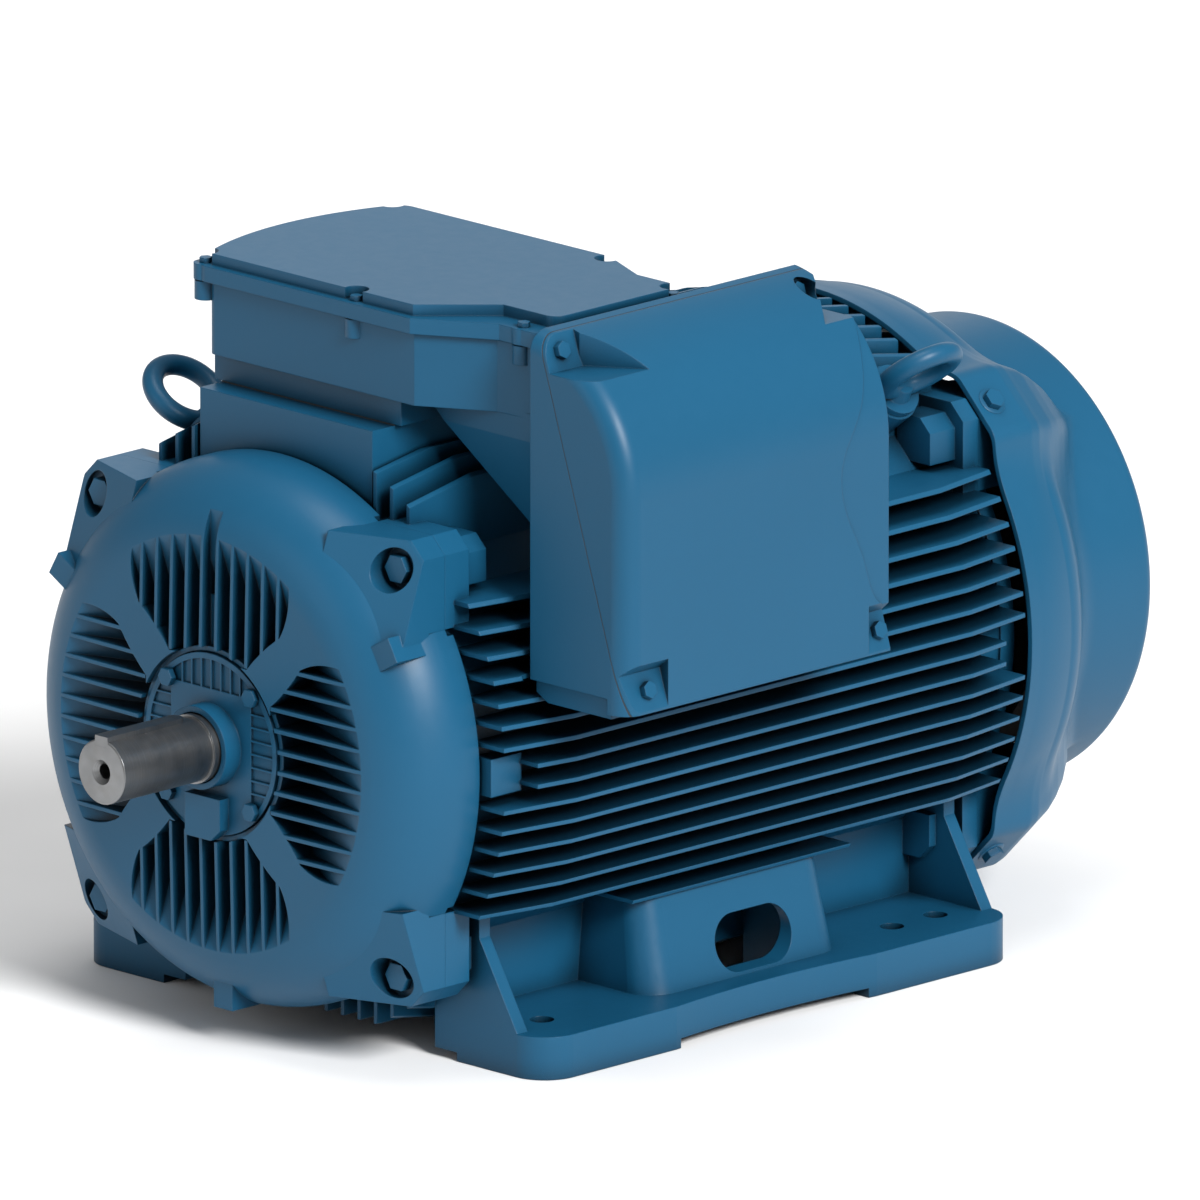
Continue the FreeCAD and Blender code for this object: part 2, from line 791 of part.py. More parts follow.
def make_frame():
    s = Sizes
    length = s.frame_back_y - s.frame_front_y
    barrel = rod(s.barrel_radius, (0, s.frame_front_y, AXIS), length)
    front_lug, back_lug = 38, 24
    lug = (s.lug_low, s.lug_reach, s.lug_chamfer)
    lugs = [corner_lugs(*lug, s.frame_front_y, front_lug, 300),
            corner_lugs(*lug, s.frame_back_y - back_lug, back_lug, 300)]
    noses = []
    for start in (s.frame_front_y + front_lug, s.frame_back_y - 64):
        noses.append(corner_lugs(205, 258, 16, start, 40, 300))
    top_pad = box((-s.top_pad_half_width, s.top_pad_front_y, AXIS + 250),
                  (s.top_pad_half_width, s.top_pad_back_y, s.top_pad_z))
    eye_bosses = [along_eye(side, y, -75, 34, 75) for side, y in EYE_SPOTS]
    pad = PLATE_PAD
    plate_pad = box((pad["face_x"], pad["low_y"], pad["low_z"]),
                    (-270, pad["high_y"], pad["high_z"]))
    side_boss = box((270, s.frame_front_y + 14, AXIS - 22), (330, s.frame_front_y + 62, AXIS + 22))
    right_foot = foot_side()
    fins = cut(frame_fins(), clear_of_fins())
    solid = fuse([barrel, fins, top_pad, plate_pad, side_boss, right_foot, mirrored_x(right_foot)]
                 + lugs + noses + eye_bosses)

    relieved = s.core_radius + 3
    bore = turned("bore", [
        (0, s.frame_front_y - 2), (s.frame_bore, s.frame_front_y - 2),
        (s.frame_bore, s.frame_front_y + 16), (relieved, s.frame_front_y + 16),
        (relieved, s.core_front_y - 20), (s.core_radius, s.core_front_y - 20),
        (s.core_radius, s.core_back_y + 20), (relieved, s.core_back_y + 20),
        (relieved, s.frame_back_y - 16), (s.frame_bore, s.frame_back_y - 16),
        (s.frame_bore, s.frame_back_y + 2), (0, s.frame_back_y + 2),
    ])
    opening = box((-95, -372, AXIS + 200), (95, -140, s.top_pad_z + 1))
    tools = [bore, opening]
    for x, z in four_corners(s.lug_bolt):
        tools.append(rod(10, (x, s.frame_front_y - 1, AXIS + z), 56))
        tools.append(rod(10, (x, s.frame_back_y - 55, AXIS + z), 56))
    for side, y in EYE_SPOTS:
        tools.append(along_eye(side, y, -46, 15, 47))
    for x, y in adaptor_bolt_spots():
        tools.append(rod(6, (x, y, s.top_pad_z - 34), 35, "z"))
    for y, z in plate_rivet_spots():
        tools.append(rod(2.5, (PLATE_PAD["face_x"] - 1, y, z), 13, "x"))
    tools.append(rod(5, (EARTH_X, EARTH_Y, s.foot_thickness - 21), 22, "z"))
    keep(cut(solid, fuse(tools)), "stator_frame")


def adaptor_bolt_spots():
    return [(x, y) for x in (-118, 118) for y in (-360, -256, -150)]


def plate_rivet_spots():
    pad = PLATE_PAD
    inset = 10
    return [(y, z) for y in (pad["low_y"] + inset, pad["high_y"] - inset)
            for z in (pad["low_z"] + inset, pad["high_z"] - inset)]


def make_eyebolts():
    """Two lifting eyebolts that lean outwards."""
    rings = []
    ring_distance = 55
    for side, y in EYE_SPOTS:
        direction = eye_direction(side)
        seat = Vector(side * EYE_SEAT[0], y, float(AXIS) + EYE_SEAT[1])
        across = direction.cross(Vector(0, 1, 0))
        ring = Part.makeTorus(42, 12, seat + direction * ring_distance, across)
        collar = Part.makeCylinder(31, 9, seat, direction)
        neck = Part.makeCone(20, 13, 16, seat + direction * 8, direction)
        shank = Part.makeCylinder(14.8, 44, seat - direction * 44, direction)
        rings.append(feature(ring.fuse([collar, neck, shank]).removeSplitter()))
    keep(compound(rings), "eyebolts")


def make_rating_plate():
    pad = PLATE_PAD
    low = (pad["face_x"] - 1.5, pad["low_y"] + 3, pad["low_z"] + 3)
    high = (pad["face_x"], pad["high_y"] - 3, pad["high_z"] - 3)
    plate = box(low, high)
    holes = [rod(2.6, (pad["face_x"] - 3, y, z), 6, "x") for y, z in plate_rivet_spots()]
    keep(cut(plate, fuse(holes)), "rating_plate")
    rivets = []
    for y, z in plate_rivet_spots():
        stem = rod(2.4, (pad["face_x"] - 2, y, z), 12, "x")
        head = rod(4.5, (pad["face_x"] - 3.5, y, z), 2, "x")
        rivets.append(fuse([stem, head]))
    keep(compound(rivets), "plate_rivets")
    top = Sizes.foot_thickness
    washer = rod(11, (EARTH_X, EARTH_Y, top), 2, "z")
    washer_hole = rod(5.2, (EARTH_X, EARTH_Y, top - 1), 4, "z")
    screw = hex_bolt((EARTH_X, EARTH_Y, top + 2), (0, 0, 1), Sizes.m10_flats, 4.8, 20, 6.5)
    keep(compound([cut(washer, washer_hole), screw]), "earth_screw")


# ---------------------------------------------------------------- end shields

RIB_PITCH = 24.2
GROOVE_HALF = 10
CAP_BOLT_HOLE = 6.6


def recess_outline():
    """One of the four fan-shaped recesses, symmetrical about its middle."""
    half = [(99, -62, 0), (145, -113, -260), (212, -124, 90), (242, 0, 330)]
    other = [(212, 124, 330), (145, 113, 90), (99, 62, -260)]
    return half + other


def recess_tool():
    """Everything cut out between the ribs of the driving end shield."""
    s = Sizes
    face = s.shield_face_y
    sectors = []
    for turn in range(4):
        outline = []
        for along, across, bend in recess_outline():
            x, z = along, across
            for _ in range(turn):
                x, z = -z, x
            outline.append((x, z, bend) if bend else (x, z))
        sectors.append(padded("sector", "XZ_Plane", [outline], face - 8, 80, AXIS))
    wedge = turned("recess_wedge", [
        (112, face - 9), (252, face - 9), (244, face + 3), (112, face + 52),
    ])
    ribs = []
    half = 2.3
    for index in range(5):
        for offset in (RIB_PITCH * (index + 0.5), -RIB_PITCH * (index + 0.5)):
            for sign in (-1, 1):
                near, far = sorted((sign * 100, sign * 260))
                ribs.append(box((near, face - 10, AXIS + offset - half),
                                (far, face + 60, AXIS + offset + half)))
                ribs.append(box((offset - half, face - 10, AXIS + near),
                                (offset + half, face + 60, AXIS + far)))
    return cut(common([fuse(sectors), wedge]), fuse(ribs))


def shield_gussets():
    """Sloping corner blocks that run from the lugs up to the dome."""
    s = Sizes
    seat = float(s.shield_bolt_seat_y)
    near = 270
    block = polygon_solid([
        (-110, seat + 10, near), (-110, seat, 372), (-110, seat - 4, 366), (-110, seat - 44, 283),
        (-110, seat - 44, near),
    ], (220, 0, 0))
    corners = []
    for number in range(4):
        corner = block.copy()
        corner.translate(Vector(0, 0, float(AXIS)))
        corners.append(feature(moved(corner, 45 + 90 * number)))
    limit = padded("gusset_limit", "XZ_Plane",
                   corner_outlines(s.lug_low - 12, s.lug_reach, s.lug_chamfer), seat - 60, 90, AXIS)
    return common([fuse(corners), limit])


def make_front_shield():
    s = Sizes
    face = s.shield_face_y
    seam = s.frame_front_y
    hub_back = s.de_front_y + s.de_width + 26
    shell = turned("shield_shell", [
        (s.de_outer, s.cap_seat_y), (s.cap_radius + 1.2, s.cap_seat_y), (s.cap_radius + 1.2, face + 9),
        (112, face + 9), (112, face), (224, face + 3),
        (s.shield_rim_radius, -446, 92.5), (s.shield_rim_radius, seam + 9), (309, seam + 9), (309, seam),
        (s.frame_bore - 0.2, seam), (s.frame_bore - 0.2, seam + 12), (283, seam + 12),
        (283, seam - 22), (258, seam - 62), (236, seam - 72), (118, seam - 38), (113, hub_back),
        (s.de_outer, hub_back),
    ])
    lug_front = s.shield_bolt_seat_y - 2
    lugs = corner_lugs(s.lug_low, s.lug_reach, s.lug_chamfer, lug_front, seam - lug_front, 300)
    gussets = cut(shield_gussets(), rod(286, (0, seam - 60, AXIS), 70))
    knock_lugs = []
    for angle in (60, 180, 300):
        lug = Part.makeBox(30, 48, 46, Vector(-15, -517.5, float(AXIS) + 267))
        knock_lugs.append(feature(moved(lug, angle)))
    tube_boss = box((-12.5, -526, AXIS + s.cap_radius + 1.5), (12.5, -480, AXIS + 171))
    skirt_gaps = []
    for x, z in four_corners(1):
        low_x, high_x = sorted((x * 158, x * 330))
        low_z, high_z = sorted((z * 158, z * 330))
        skirt_gaps.append(box((low_x, seam, AXIS + low_z), (high_x, seam + 10, AXIS + high_z)))
    spigot_keeper = rod(300, (0, seam - 1, AXIS), 20)
    gaps = cut(fuse(skirt_gaps), spigot_keeper)
    groove = box((-GROOVE_HALF, face - 10, AXIS + 171), (GROOVE_HALF, -526, AXIS + 300))
    body = cut(fuse([shell, lugs, gussets] + knock_lugs), fuse([recess_tool(), gaps, groove]))
    holes = []
    for x, z in four_corners(s.lug_bolt):
        holes.append(rod(11, (x, s.shield_bolt_seat_y - 1, AXIS + z), 40))
        holes.append(rod(25, (x, s.shield_bolt_seat_y - 60, AXIS + z), 60))
    for x, z in four_corners(s.cap_bolt):
        holes.append(rod(CAP_BOLT_HOLE, (x, face - 1, AXIS + z), 160))
    holes.append(rod(6, (0, seam - 12, 30), 50, "z"))
    keep(cut(fuse([body, tube_boss]), fuse(holes)), "endshield_de")


NDE_CAP_BOLT = 61


def make_back_shield():
    s = Sizes
    seam = s.frame_back_y
    shell = turned("back_shell", [
        (s.nde_outer, 437), (98, 437), (122, 434), (268, 424), (283, 422), (283, seam - 10),
        (s.frame_bore - 0.2, seam - 10), (s.frame_bore - 0.2, seam), (308, seam), (308, seam + 22),
        (262, seam + 25), (132, seam + 42), (100, seam + 70), (s.nde_outer, seam + 70),
    ])
    reach = s.lug_reach - 2
    depth = s.back_shield_seat_y - seam
    lugs = corner_lugs(s.lug_low, reach, s.lug_chamfer, seam, depth, 300)
    holes = []
    for x, z in four_corners(s.lug_bolt):
        holes.append(rod(11, (x, seam - 1, AXIS + z), 70))
    for x, z in four_corners(NDE_CAP_BOLT):
        holes.append(rod(5.5, (x, 430, AXIS + z), 70))
    screw_hole = Part.makeCylinder(6, 24, Vector(0, COVER_BOLT_Y, float(AXIS) + 345))
    for number in range(4):
        holes.append(feature(moved(screw_hole, 45 + 90 * number)))
    holes.append(rod(6, (0, 430, 30), 50, "z"))
    keep(cut(fuse([shell, lugs]), fuse(holes)), "endshield_nde")


def make_bearing_caps():
    s = Sizes
    seat, face = s.cap_seat_y, s.cap_face_y
    outer = turned("outer_cap", [
        (41, face - 24), (48, face - 24), (48, face), (s.cap_radius, face), (s.cap_radius, seat),
        (s.de_outer - 0.2, seat), (s.de_outer - 0.2, s.de_front_y), (76, s.de_front_y), (76, face + 15),
        (52, face + 15), (52, face + 5), (41, face + 5),
    ])
    drain_block = box((-28, face - 14, AXIS - 108), (28, face, AXIS - 58))
    drain_edge = feature(polygon_solid([
        (28.5, -551, float(AXIS) - 109), (28.5, -551, float(AXIS) - 94), (12, -551, float(AXIS) - 109)],
        (0, 16, 0)))
    flats = []
    for turn in range(3):
        segment = Part.makeBox(140, 3.5, 34, Vector(-70, float(face) - 0.5, float(AXIS) + 64))
        lines = [Part.makeBox(2.4, 3.5, 34, Vector(-1.2 + offset, float(face) - 0.5, float(AXIS) + 64))
                 for offset in (-46, -31, -15.5, 0, 15.5, 31, 46)]
        disc = Part.makeCylinder(98, 8, Vector(0, float(face) - 2, float(AXIS)), Vector(0, 1, 0))
        flats.append(feature(moved(segment.common(disc).cut(lines), -90 + 90 * turn)))
    holes = []
    for x, z in four_corners(s.cap_bolt):
        holes.append(rod(CAP_BOLT_HOLE, (x, face - 1, AXIS + z), 60))
    drained = cut(drain_block, drain_edge)
    bore = rod(80, (0, face + 1, AXIS), 12)
    body = cut(cut(fuse([outer, cut(drained, bore)]), fuse(flats)), fuse(holes))
    keep(body, "bearing_cap_outer_de")

    back = s.de_front_y + s.de_width
    hub_back = back + 26
    inner = turned("inner_cap", [
        (48, hub_back + 12), (s.cap_radius, hub_back + 12), (s.cap_radius, hub_back),
        (s.de_outer - 0.2, hub_back), (s.de_outer - 0.2, back), (76, back), (76, hub_back),
        (48, hub_back),
    ])
    inner_holes = [rod(6, (x, hub_back - 1, AXIS + z), 20) for x, z in four_corners(s.cap_bolt)]
    keep(cut(inner, fuse(inner_holes)), "bearing_cap_inner_de")

    cap_seat = s.frame_back_y + 70
    front, rear = s.nde_front_y, s.nde_front_y + s.nde_width
    outer = turned("back_cap", [
        (36, cap_seat + 20), (94, cap_seat + 20), (94, cap_seat), (s.nde_outer - 0.2, cap_seat),
        (s.nde_outer - 0.2, rear), (67, rear), (67, rear + 15), (48, rear + 15),
        (48, rear + 22), (36, rear + 22),
    ])
    outer_holes = [rod(5.5, (x, cap_seat - 1, AXIS + z), 24) for x, z in four_corners(NDE_CAP_BOLT)]
    keep(cut(outer, fuse(outer_holes)), "bearing_cap_outer_nde")
    inner = turned("back_inner_cap", [
        (44, 425), (94, 425), (94, 437), (s.nde_outer - 0.2, 437), (s.nde_outer - 0.2, front - 3.2),
        (67, front - 3.2), (67, 437), (44, 437),
    ])
    inner_holes = [rod(5, (x, 420, AXIS + z), 20) for x, z in four_corners(NDE_CAP_BOLT)]
    keep(cut(inner, fuse(inner_holes)), "bearing_cap_inner_nde")
    spring = turned("spring", [(68, front - 3), (74.4, front - 3), (74.4, front), (68, front)])
    keep(spring, "preload_spring")


# ---------------------------------------------------------------- fan cover

COVER_BOLT_Y = 446
EAR_SECTIONS = ((0, 0, 0), (62, 0, 0), (90, 8, 9), (125, 22, 26), (160, 44, 52),
                (190, 70, 77), (207, 88, 88))


def cover_outline(inset):
    """Half section of the cover: flared skirt, waist and drum with a round rim."""
    s = Sizes
    radius, back = s.drum_radius - inset, s.cover_back_y - inset
    rim = 15.4 - inset
    return [
        (0, s.cover_front_y), (s.cover_front_radius - inset, s.cover_front_y),
        (352 - inset, 440), (341 - inset, 498, 240),
        (329.2 - inset, 526, 42), (289 - inset, 566.5),
        (radius - 2, 612, -58), (radius, back - rim), (radius - rim, back, rim), (0, back),
    ]


def cover_ears(inset):
    """Corner blisters that carry the screws; they fade out at the waist."""
    s = Sizes
    reach, land = float(s.ear_reach) - inset, float(s.ear_land) - inset
    base = 175
    front = float(s.cover_front_y)
    sections = []
    for along, less_reach, less_land in EAR_SECTIONS:
        side = reach - less_reach
        far = (land - less_land) * math.sqrt(2) - side
        low = base - less_land * 0.35
        y = front + along
        points = [(low, y, low), (low, y, side), (far, y, side), (side, y, far), (side, y, low)]
        sections.append(Part.makePolygon([Vector(*point) for point in points + points[:1]]))
    block = Part.makeLoft(sections, True, True)
    block.translate(Vector(0, 0, float(AXIS)))
    return [feature(moved(block, 90 * number)) for number in range(4)]


def make_fan_cover():
    s = Sizes
    wall = s.cover_wall
    outside = fuse([turned("cover_outside", cover_outline(0))] + cover_ears(0))
    hollow = fuse([turned("cover_inside", cover_outline(wall))] + cover_ears(6))
    rings = []
    pitch = 16
    slot = 9
    for number in range(11):
        radius = 62 + pitch * number
        outer = rod(radius + slot, (0, s.cover_back_y - 12, AXIS), 14)
        rings.append(cut(outer, rod(radius, (0, s.cover_back_y - 13, AXIS), 16)))
    bars = []
    bar = Part.makeBox(11, 18, 250, Vector(-5.5, 690, float(AXIS)))
    for number in range(8):
        bars.append(feature(moved(bar, 45 * number + 22.5)))
    slots = cut(compound(rings), fuse(bars))
    mouth = rod(s.cover_front_radius - wall, (0, s.cover_front_y - 1, AXIS), 2)
    holes = [mouth, slots]
    hole = Part.makeCylinder(6.6, 30, Vector(0, COVER_BOLT_Y, float(AXIS) + 350))
    for number in range(4):
        holes.append(feature(moved(hole, 45 + 90 * number)))
    keep(cut(cut(outside, hollow), fuse(holes)), "fan_cover")


# ---------------------------------------------------------------- adaptor

COVER_BOLTS = ((-157, -388), (84, -388), (300, -338), (326, -128), (186, -92), (-157, -92))
DUCT_BULGE = 370


def duct_outline(inset):
    """Plan of the duct: bulging away from the box, and slanting in towards it."""
    s = Sizes
    low, back = -150 + inset, -84 - inset
    front = -394 + inset
    right = s.box_back_x - inset
    round_corner = 14
    return [
        (low + round_corner, front, round_corner), (182, front), (266, -346 + inset),
        (right, -342 + inset), (right, -120 - inset), (258, -120 - inset), (182, back),
        (low + round_corner, back), (low, back - round_corner, round_corner),
        (low, front + round_corner, DUCT_BULGE - inset),
    ]


WINDOW = {"low_y": -300, "high_y": -160, "low_z": 660, "high_z": 829}


def make_chute():
    """Slanting underside of the duct, which narrows as it drops towards the box."""
    s = Sizes
    top = s.adaptor_flange_z + 6
    foot_z = 581
    side = padded("chute_side", "XZ_Plane", [[
        (s.adaptor_half_width, s.adaptor_flange_z), (s.box_back_x, foot_z),
        (s.box_back_x, top), (s.adaptor_half_width, top),
    ]], -400, 340)
    end = padded("chute_end", "YZ_Plane", [[
        (-310, foot_z - 2), (-150, foot_z - 2), (-120, 729), (-120, top), (-344, top), (-344, 729),
    ]], s.adaptor_half_width, s.box_back_x - s.adaptor_half_width)
    return common([side, end])


def chute_hollow():
    """Space inside the slanting underside, open to the duct and to the box."""
    s = Sizes
    w = WINDOW
    near, far = s.adaptor_half_width + 34, s.box_back_x + 2
    outline = [(near, s.adaptor_flange_z + 9), (far, w["low_z"] - 38), (far, w["high_z"]), (near, w["high_z"])]
    return padded("chute_inside", "XZ_Plane", [outline], w["low_y"], w["high_y"] - w["low_y"])


def make_adaptor():
    s = Sizes
    wall = 8
    gap = 1.5
    bottom = s.top_pad_z + gap
    flange = box((-s.adaptor_half_width, s.adaptor_front_y, bottom),
                 (s.adaptor_half_width, s.adaptor_back_y, s.adaptor_flange_z))
    duct = padded("duct", "XY_Plane", [duct_outline(0)], s.adaptor_flange_z,
                  s.adaptor_top_z - s.adaptor_flange_z)
    outside = fuse([flange, duct, make_chute()])
    inside = fuse([
        padded("duct_inside", "XY_Plane", [duct_outline(wall)], s.adaptor_flange_z + wall,
               s.adaptor_top_z - s.adaptor_flange_z),
        box((-95, -372, bottom - 1), (95, -140, s.adaptor_flange_z + wall + 1)),
        chute_hollow(),
    ])
    holes = [rod(7, (x, y, bottom - 1), 60, "z") for x, y in adaptor_bolt_spots()]
    holes += [rod(12, (x, y, s.adaptor_flange_z + wall - 1), 40, "z") for x, y in adaptor_bolt_spots()]
    for y, z in neck_bolt_spots():
        holes.append(rod(5, (s.box_back_x - 40, y, z), 42, "x"))
    ears = [rod(13, (x, y, s.adaptor_top_z - 22), 22, "z") for x, y in COVER_BOLTS]
    screw_holes = [rod(4, (x, y, s.adaptor_top_z - 22), 23, "z") for x, y in COVER_BOLTS]
    body = fuse([cut(outside, inside)] + ears)
    keep(cut(body, fuse(holes + screw_holes)), "adaptor_housing")
    sheet = box((-s.top_pad_half_width, s.adaptor_front_y, s.top_pad_z),
                (s.top_pad_half_width, s.adaptor_back_y, bottom))
    passages = [box((-95, -372, s.top_pad_z - 1), (95, -140, bottom + 1))]
    passages += [rod(7, (x, y, s.top_pad_z - 1), 5, "z") for x, y in adaptor_bolt_spots()]
    keep(cut(sheet, fuse(passages)), "adaptor_gasket")


def make_adaptor_cover():
    s = Sizes
    gap = 1.5
    corner = 16
    seat = s.adaptor_top_z + gap
    thickness = s.adaptor_plate_z - seat
    flange = padded("cover_flange", "XY_Plane", [[
        (-160 + corner, -402, corner), (183, -402), (273, -350), (341 - corner, -350),
        (341, -350 + corner, corner), (341, -112), (266, -112), (188, -76), (-160 + corner, -76),
        (-160, -76 - corner, corner), (-160, -402 + corner, DUCT_BULGE),
    ]], seat, thickness)
    ears = [rod(14, (x, y, seat), thickness, "z") for x, y in COVER_BOLTS]
    lid = padded("cover_lid", "XY_Plane", [[
        (-148, -392, 8), (178, -392), (250, -320), (317, -320), (333, -304, 16),
        (333, -138), (315, -120, 18), (262, -120), (182, -84), (-130, -84), (-155, -102, 24),
        (-152, -386, DUCT_BULGE),
    ]], s.adaptor_plate_z, s.adaptor_lid_z - s.adaptor_plate_z)
    notches = [rod(14.5, (x, y, s.adaptor_plate_z), 20, "z") for x, y in COVER_BOLTS]
    holes = [rod(4.5, (x, y, s.adaptor_top_z), 30, "z") for x, y in COVER_BOLTS]
    keep(cut(fuse([flange, cut(lid, fuse(notches))] + ears), fuse(holes)), "adaptor_cover")
    rim = padded("rim_sheet", "XY_Plane", [duct_outline(0.5), duct_outline(8.5)], s.adaptor_top_z, gap)
    screw_gaps = [rod(4.2, (x, y, s.adaptor_top_z - 1), 4, "z") for x, y in COVER_BOLTS]
    keep(cut(rim, fuse(screw_gaps)), "adaptor_cover_gasket")
    bolts = [hex_bolt((x, y, s.adaptor_plate_z), (0, 0, 1), s.m8_flats, 3.9, 36, 6)
             for x, y in COVER_BOLTS]
    keep(compound(bolts), "adaptor_cover_bolts")
    inner = [hex_bolt((x, y, s.adaptor_flange_z + 8 - 1), (0, 0, 1), s.m12_flats, 5.8, 62, 8)
             for x, y in adaptor_bolt_spots()]
    keep(compound(inner), "adaptor_bolts")


def neck_bolt_spots():
    return [(y, z) for y in (-318, -142) for z in (770, 800)]


# ---------------------------------------------------------------- terminal box

BOX_WALL = 7
BOX_ROUNDING = 24
LEAN = math.radians(18)
SEAM_TOP = (357, 865)
LID_TAB = 5
LID_BOLTS = ((-349, 846), (24, 846), (-334, 472), (33, 472))
LID_SHANKS = {846: 28, 472: 20}
LID_BOLT_FLATS = 18
ENTRY_RADIUS = 31.5
ENTRY_X = 410
ENTRY_SPOTS = (-245, -80)


def box_section():
    """Side view of the terminal box: flat back and front, a bar in front, curved top."""
    s = Sizes
    radius = s.box_front_x - s.box_curve_x
    height = math.sqrt(float(radius) ** 2 - float(s.box_curve_x - s.box_back_x) ** 2)
    return [
        (s.box_back_x, s.box_bottom_z), (s.box_front_bar_x, s.box_bottom_z),
        (s.box_front_bar_x, s.box_front_bar_z), (s.box_front_x, s.box_front_bar_z),
        (s.box_front_x, s.box_curve_z), (s.box_back_x, s.box_curve_z + height, radius),
    ]


def box_hollow_section(inset):
    """Side view of the space inside the terminal box, with walls of a given thickness."""
    s = Sizes
    front, back = s.box_front_x - inset, s.box_back_x + inset
    radius = front - s.box_curve_x
    height = math.sqrt(float(radius) ** 2 - float(s.box_curve_x - back) ** 2)
    return [
        (back, s.box_bottom_z + inset), (front, s.box_bottom_z + inset),
        (front, s.box_curve_z), (back, s.box_curve_z + height, radius),
    ]


def seam_x(z, shift=0):
    """Where the leaning joint of the box is at a height, moved out by a shift."""
    return SEAM_TOP[0] + (SEAM_TOP[1] - z) * math.tan(LEAN) + shift / math.cos(LEAN)


def behind_seam(shift):
    """Everything behind the leaning joint, moved out by a shift."""
    low, high, back = 400, 900, 250
    y = float(Sizes.box_left_y) - 20
    points = [(back, y, low), (seam_x(low, shift), y, low),
              (seam_x(high, shift), y, high), (back, y, high)]
    return feature(polygon_solid(points, (0, 480, 0)))


def lid_seat(y, z):
    """Where a lid bolt's head rests, and the direction in which it leaves."""
    return (seam_x(z, LID_TAB), y, z), (math.cos(LEAN), 0, math.sin(LEAN))


def lean_rod(radius, y, z, near, length):
    """Cylinder on a lid bolt's axis, from a distance in front of its seat."""
    seat, direction = lid_seat(y, z)
    along = Vector(*direction)
    return feature(Part.makeCylinder(radius, length, Vector(*seat) + along * near, along))


def rounded_front(solid, y, radius):
    """The solid with its front edge at one end of the box rounded, bar and curve included."""
    DOC.recompute()
    chosen = []
    for number, edge in enumerate(solid.Shape.Edges, start=1):
        bounds = edge.BoundBox
        in_plane = abs(bounds.YMin - y) < 0.01 and abs(bounds.YMax - y) < 0.01
        if in_plane and bounds.XMax > 480 and bounds.ZMax - bounds.ZMin > 100:
            chosen.append((number, radius, radius))
    fillet = DOC.addObject("Part::Fillet", "rounding")
    fillet.Base = solid
    fillet.Edges = chosen
    return fillet


def box_shell():
    s = Sizes
    left, right = s.box_left_y, s.box_right_y
    outside = padded("box_outside", "XZ_Plane", [box_section()], left, right - left)
    outside = rounded_front(outside, float(left), BOX_ROUNDING)
    inside = padded("box_inside", "XZ_Plane", [box_hollow_section(BOX_WALL)], left + BOX_WALL,
                    right - left - 2 * BOX_WALL)
    inside = rounded_front(inside, float(left) + BOX_WALL, BOX_ROUNDING - BOX_WALL)
    blocks = [
        box((s.box_back_x, left, 815), (450, left + 105, 870)),
        box((s.box_back_x, right - 60, 815), (450, right, 870)),
        box((440, left, s.box_front_bar_z), (s.box_front_x, left + 76, 515)),
        box((440, right - 44, s.box_front_bar_z), (s.box_front_x, right, 515)),
    ]
    return fuse([cut(outside, inside), common([fuse(blocks), outside])])


def upper_scoops():
    """Corner recesses for the upper lid bolts, each with a flat shelf and a slanting wall."""
    s = Sizes
    shelf = 824.5
    left, right = float(s.box_left_y) - 2, float(s.box_right_y) + 2
    left_plan = [(340, left), (340, -322), (372, -322), (440, -278), (520, -226), (520, left)]
    right_plan = [(371, right), (440, 1), (520, -53), (520, right)]
    return [feature(polygon_solid([(x, y, shelf) for x, y in plan], (0, 0, 60)))
            for plan in (left_plan, right_plan)]


def lower_scoops():
    """Recesses for the lower lid bolts, each under a rising roof."""
    s = Sizes
    left, right = float(s.box_left_y) - 2, float(s.box_right_y) + 2
    scoops = []
    for low_y, high_y in ((left, -306), (13.5, right)):
        side = [(seam_x(440, LID_TAB), low_y, 440), (seam_x(493, LID_TAB), low_y, 493),
                (float(s.box_front_x), low_y, 505), (520, low_y, 526), (520, low_y, 440)]
        scoops.append(feature(polygon_solid(side, (0, high_y - low_y, 0))))
    return scoops


def lid_leaf():
    """Thin slice taken off the lid's face beyond an S-shaped line near the fan side."""
    depth = 3
    spots = ((48, 828), (27, 784), (5, 735), (-27, 680), (-24, 625), (6, 560), (33, 505), (49, 500))
    points = [Vector(0, y, z) for y, z in spots]
    far = 60
    curve = Part.BSplineCurve()
    curve.interpolate(points)
    low, high = Vector(0, far, points[-1].z), Vector(0, far, points[0].z)
    straight = ((points[-1], low), (low, high), (high, points[0]))
    lines = [Part.LineSegment(*ends).toShape() for ends in straight]
    face = Part.Face(Part.Wire([curve.toShape()] + lines))
    slab = feature(face.extrude(Vector(200, 0, 0)), (380, 0, 0))
    left = Sizes.box_left_y - 2
    return cut(slab, padded("leaf_floor", "XZ_Plane", [box_hollow_section(depth)], left, 500))


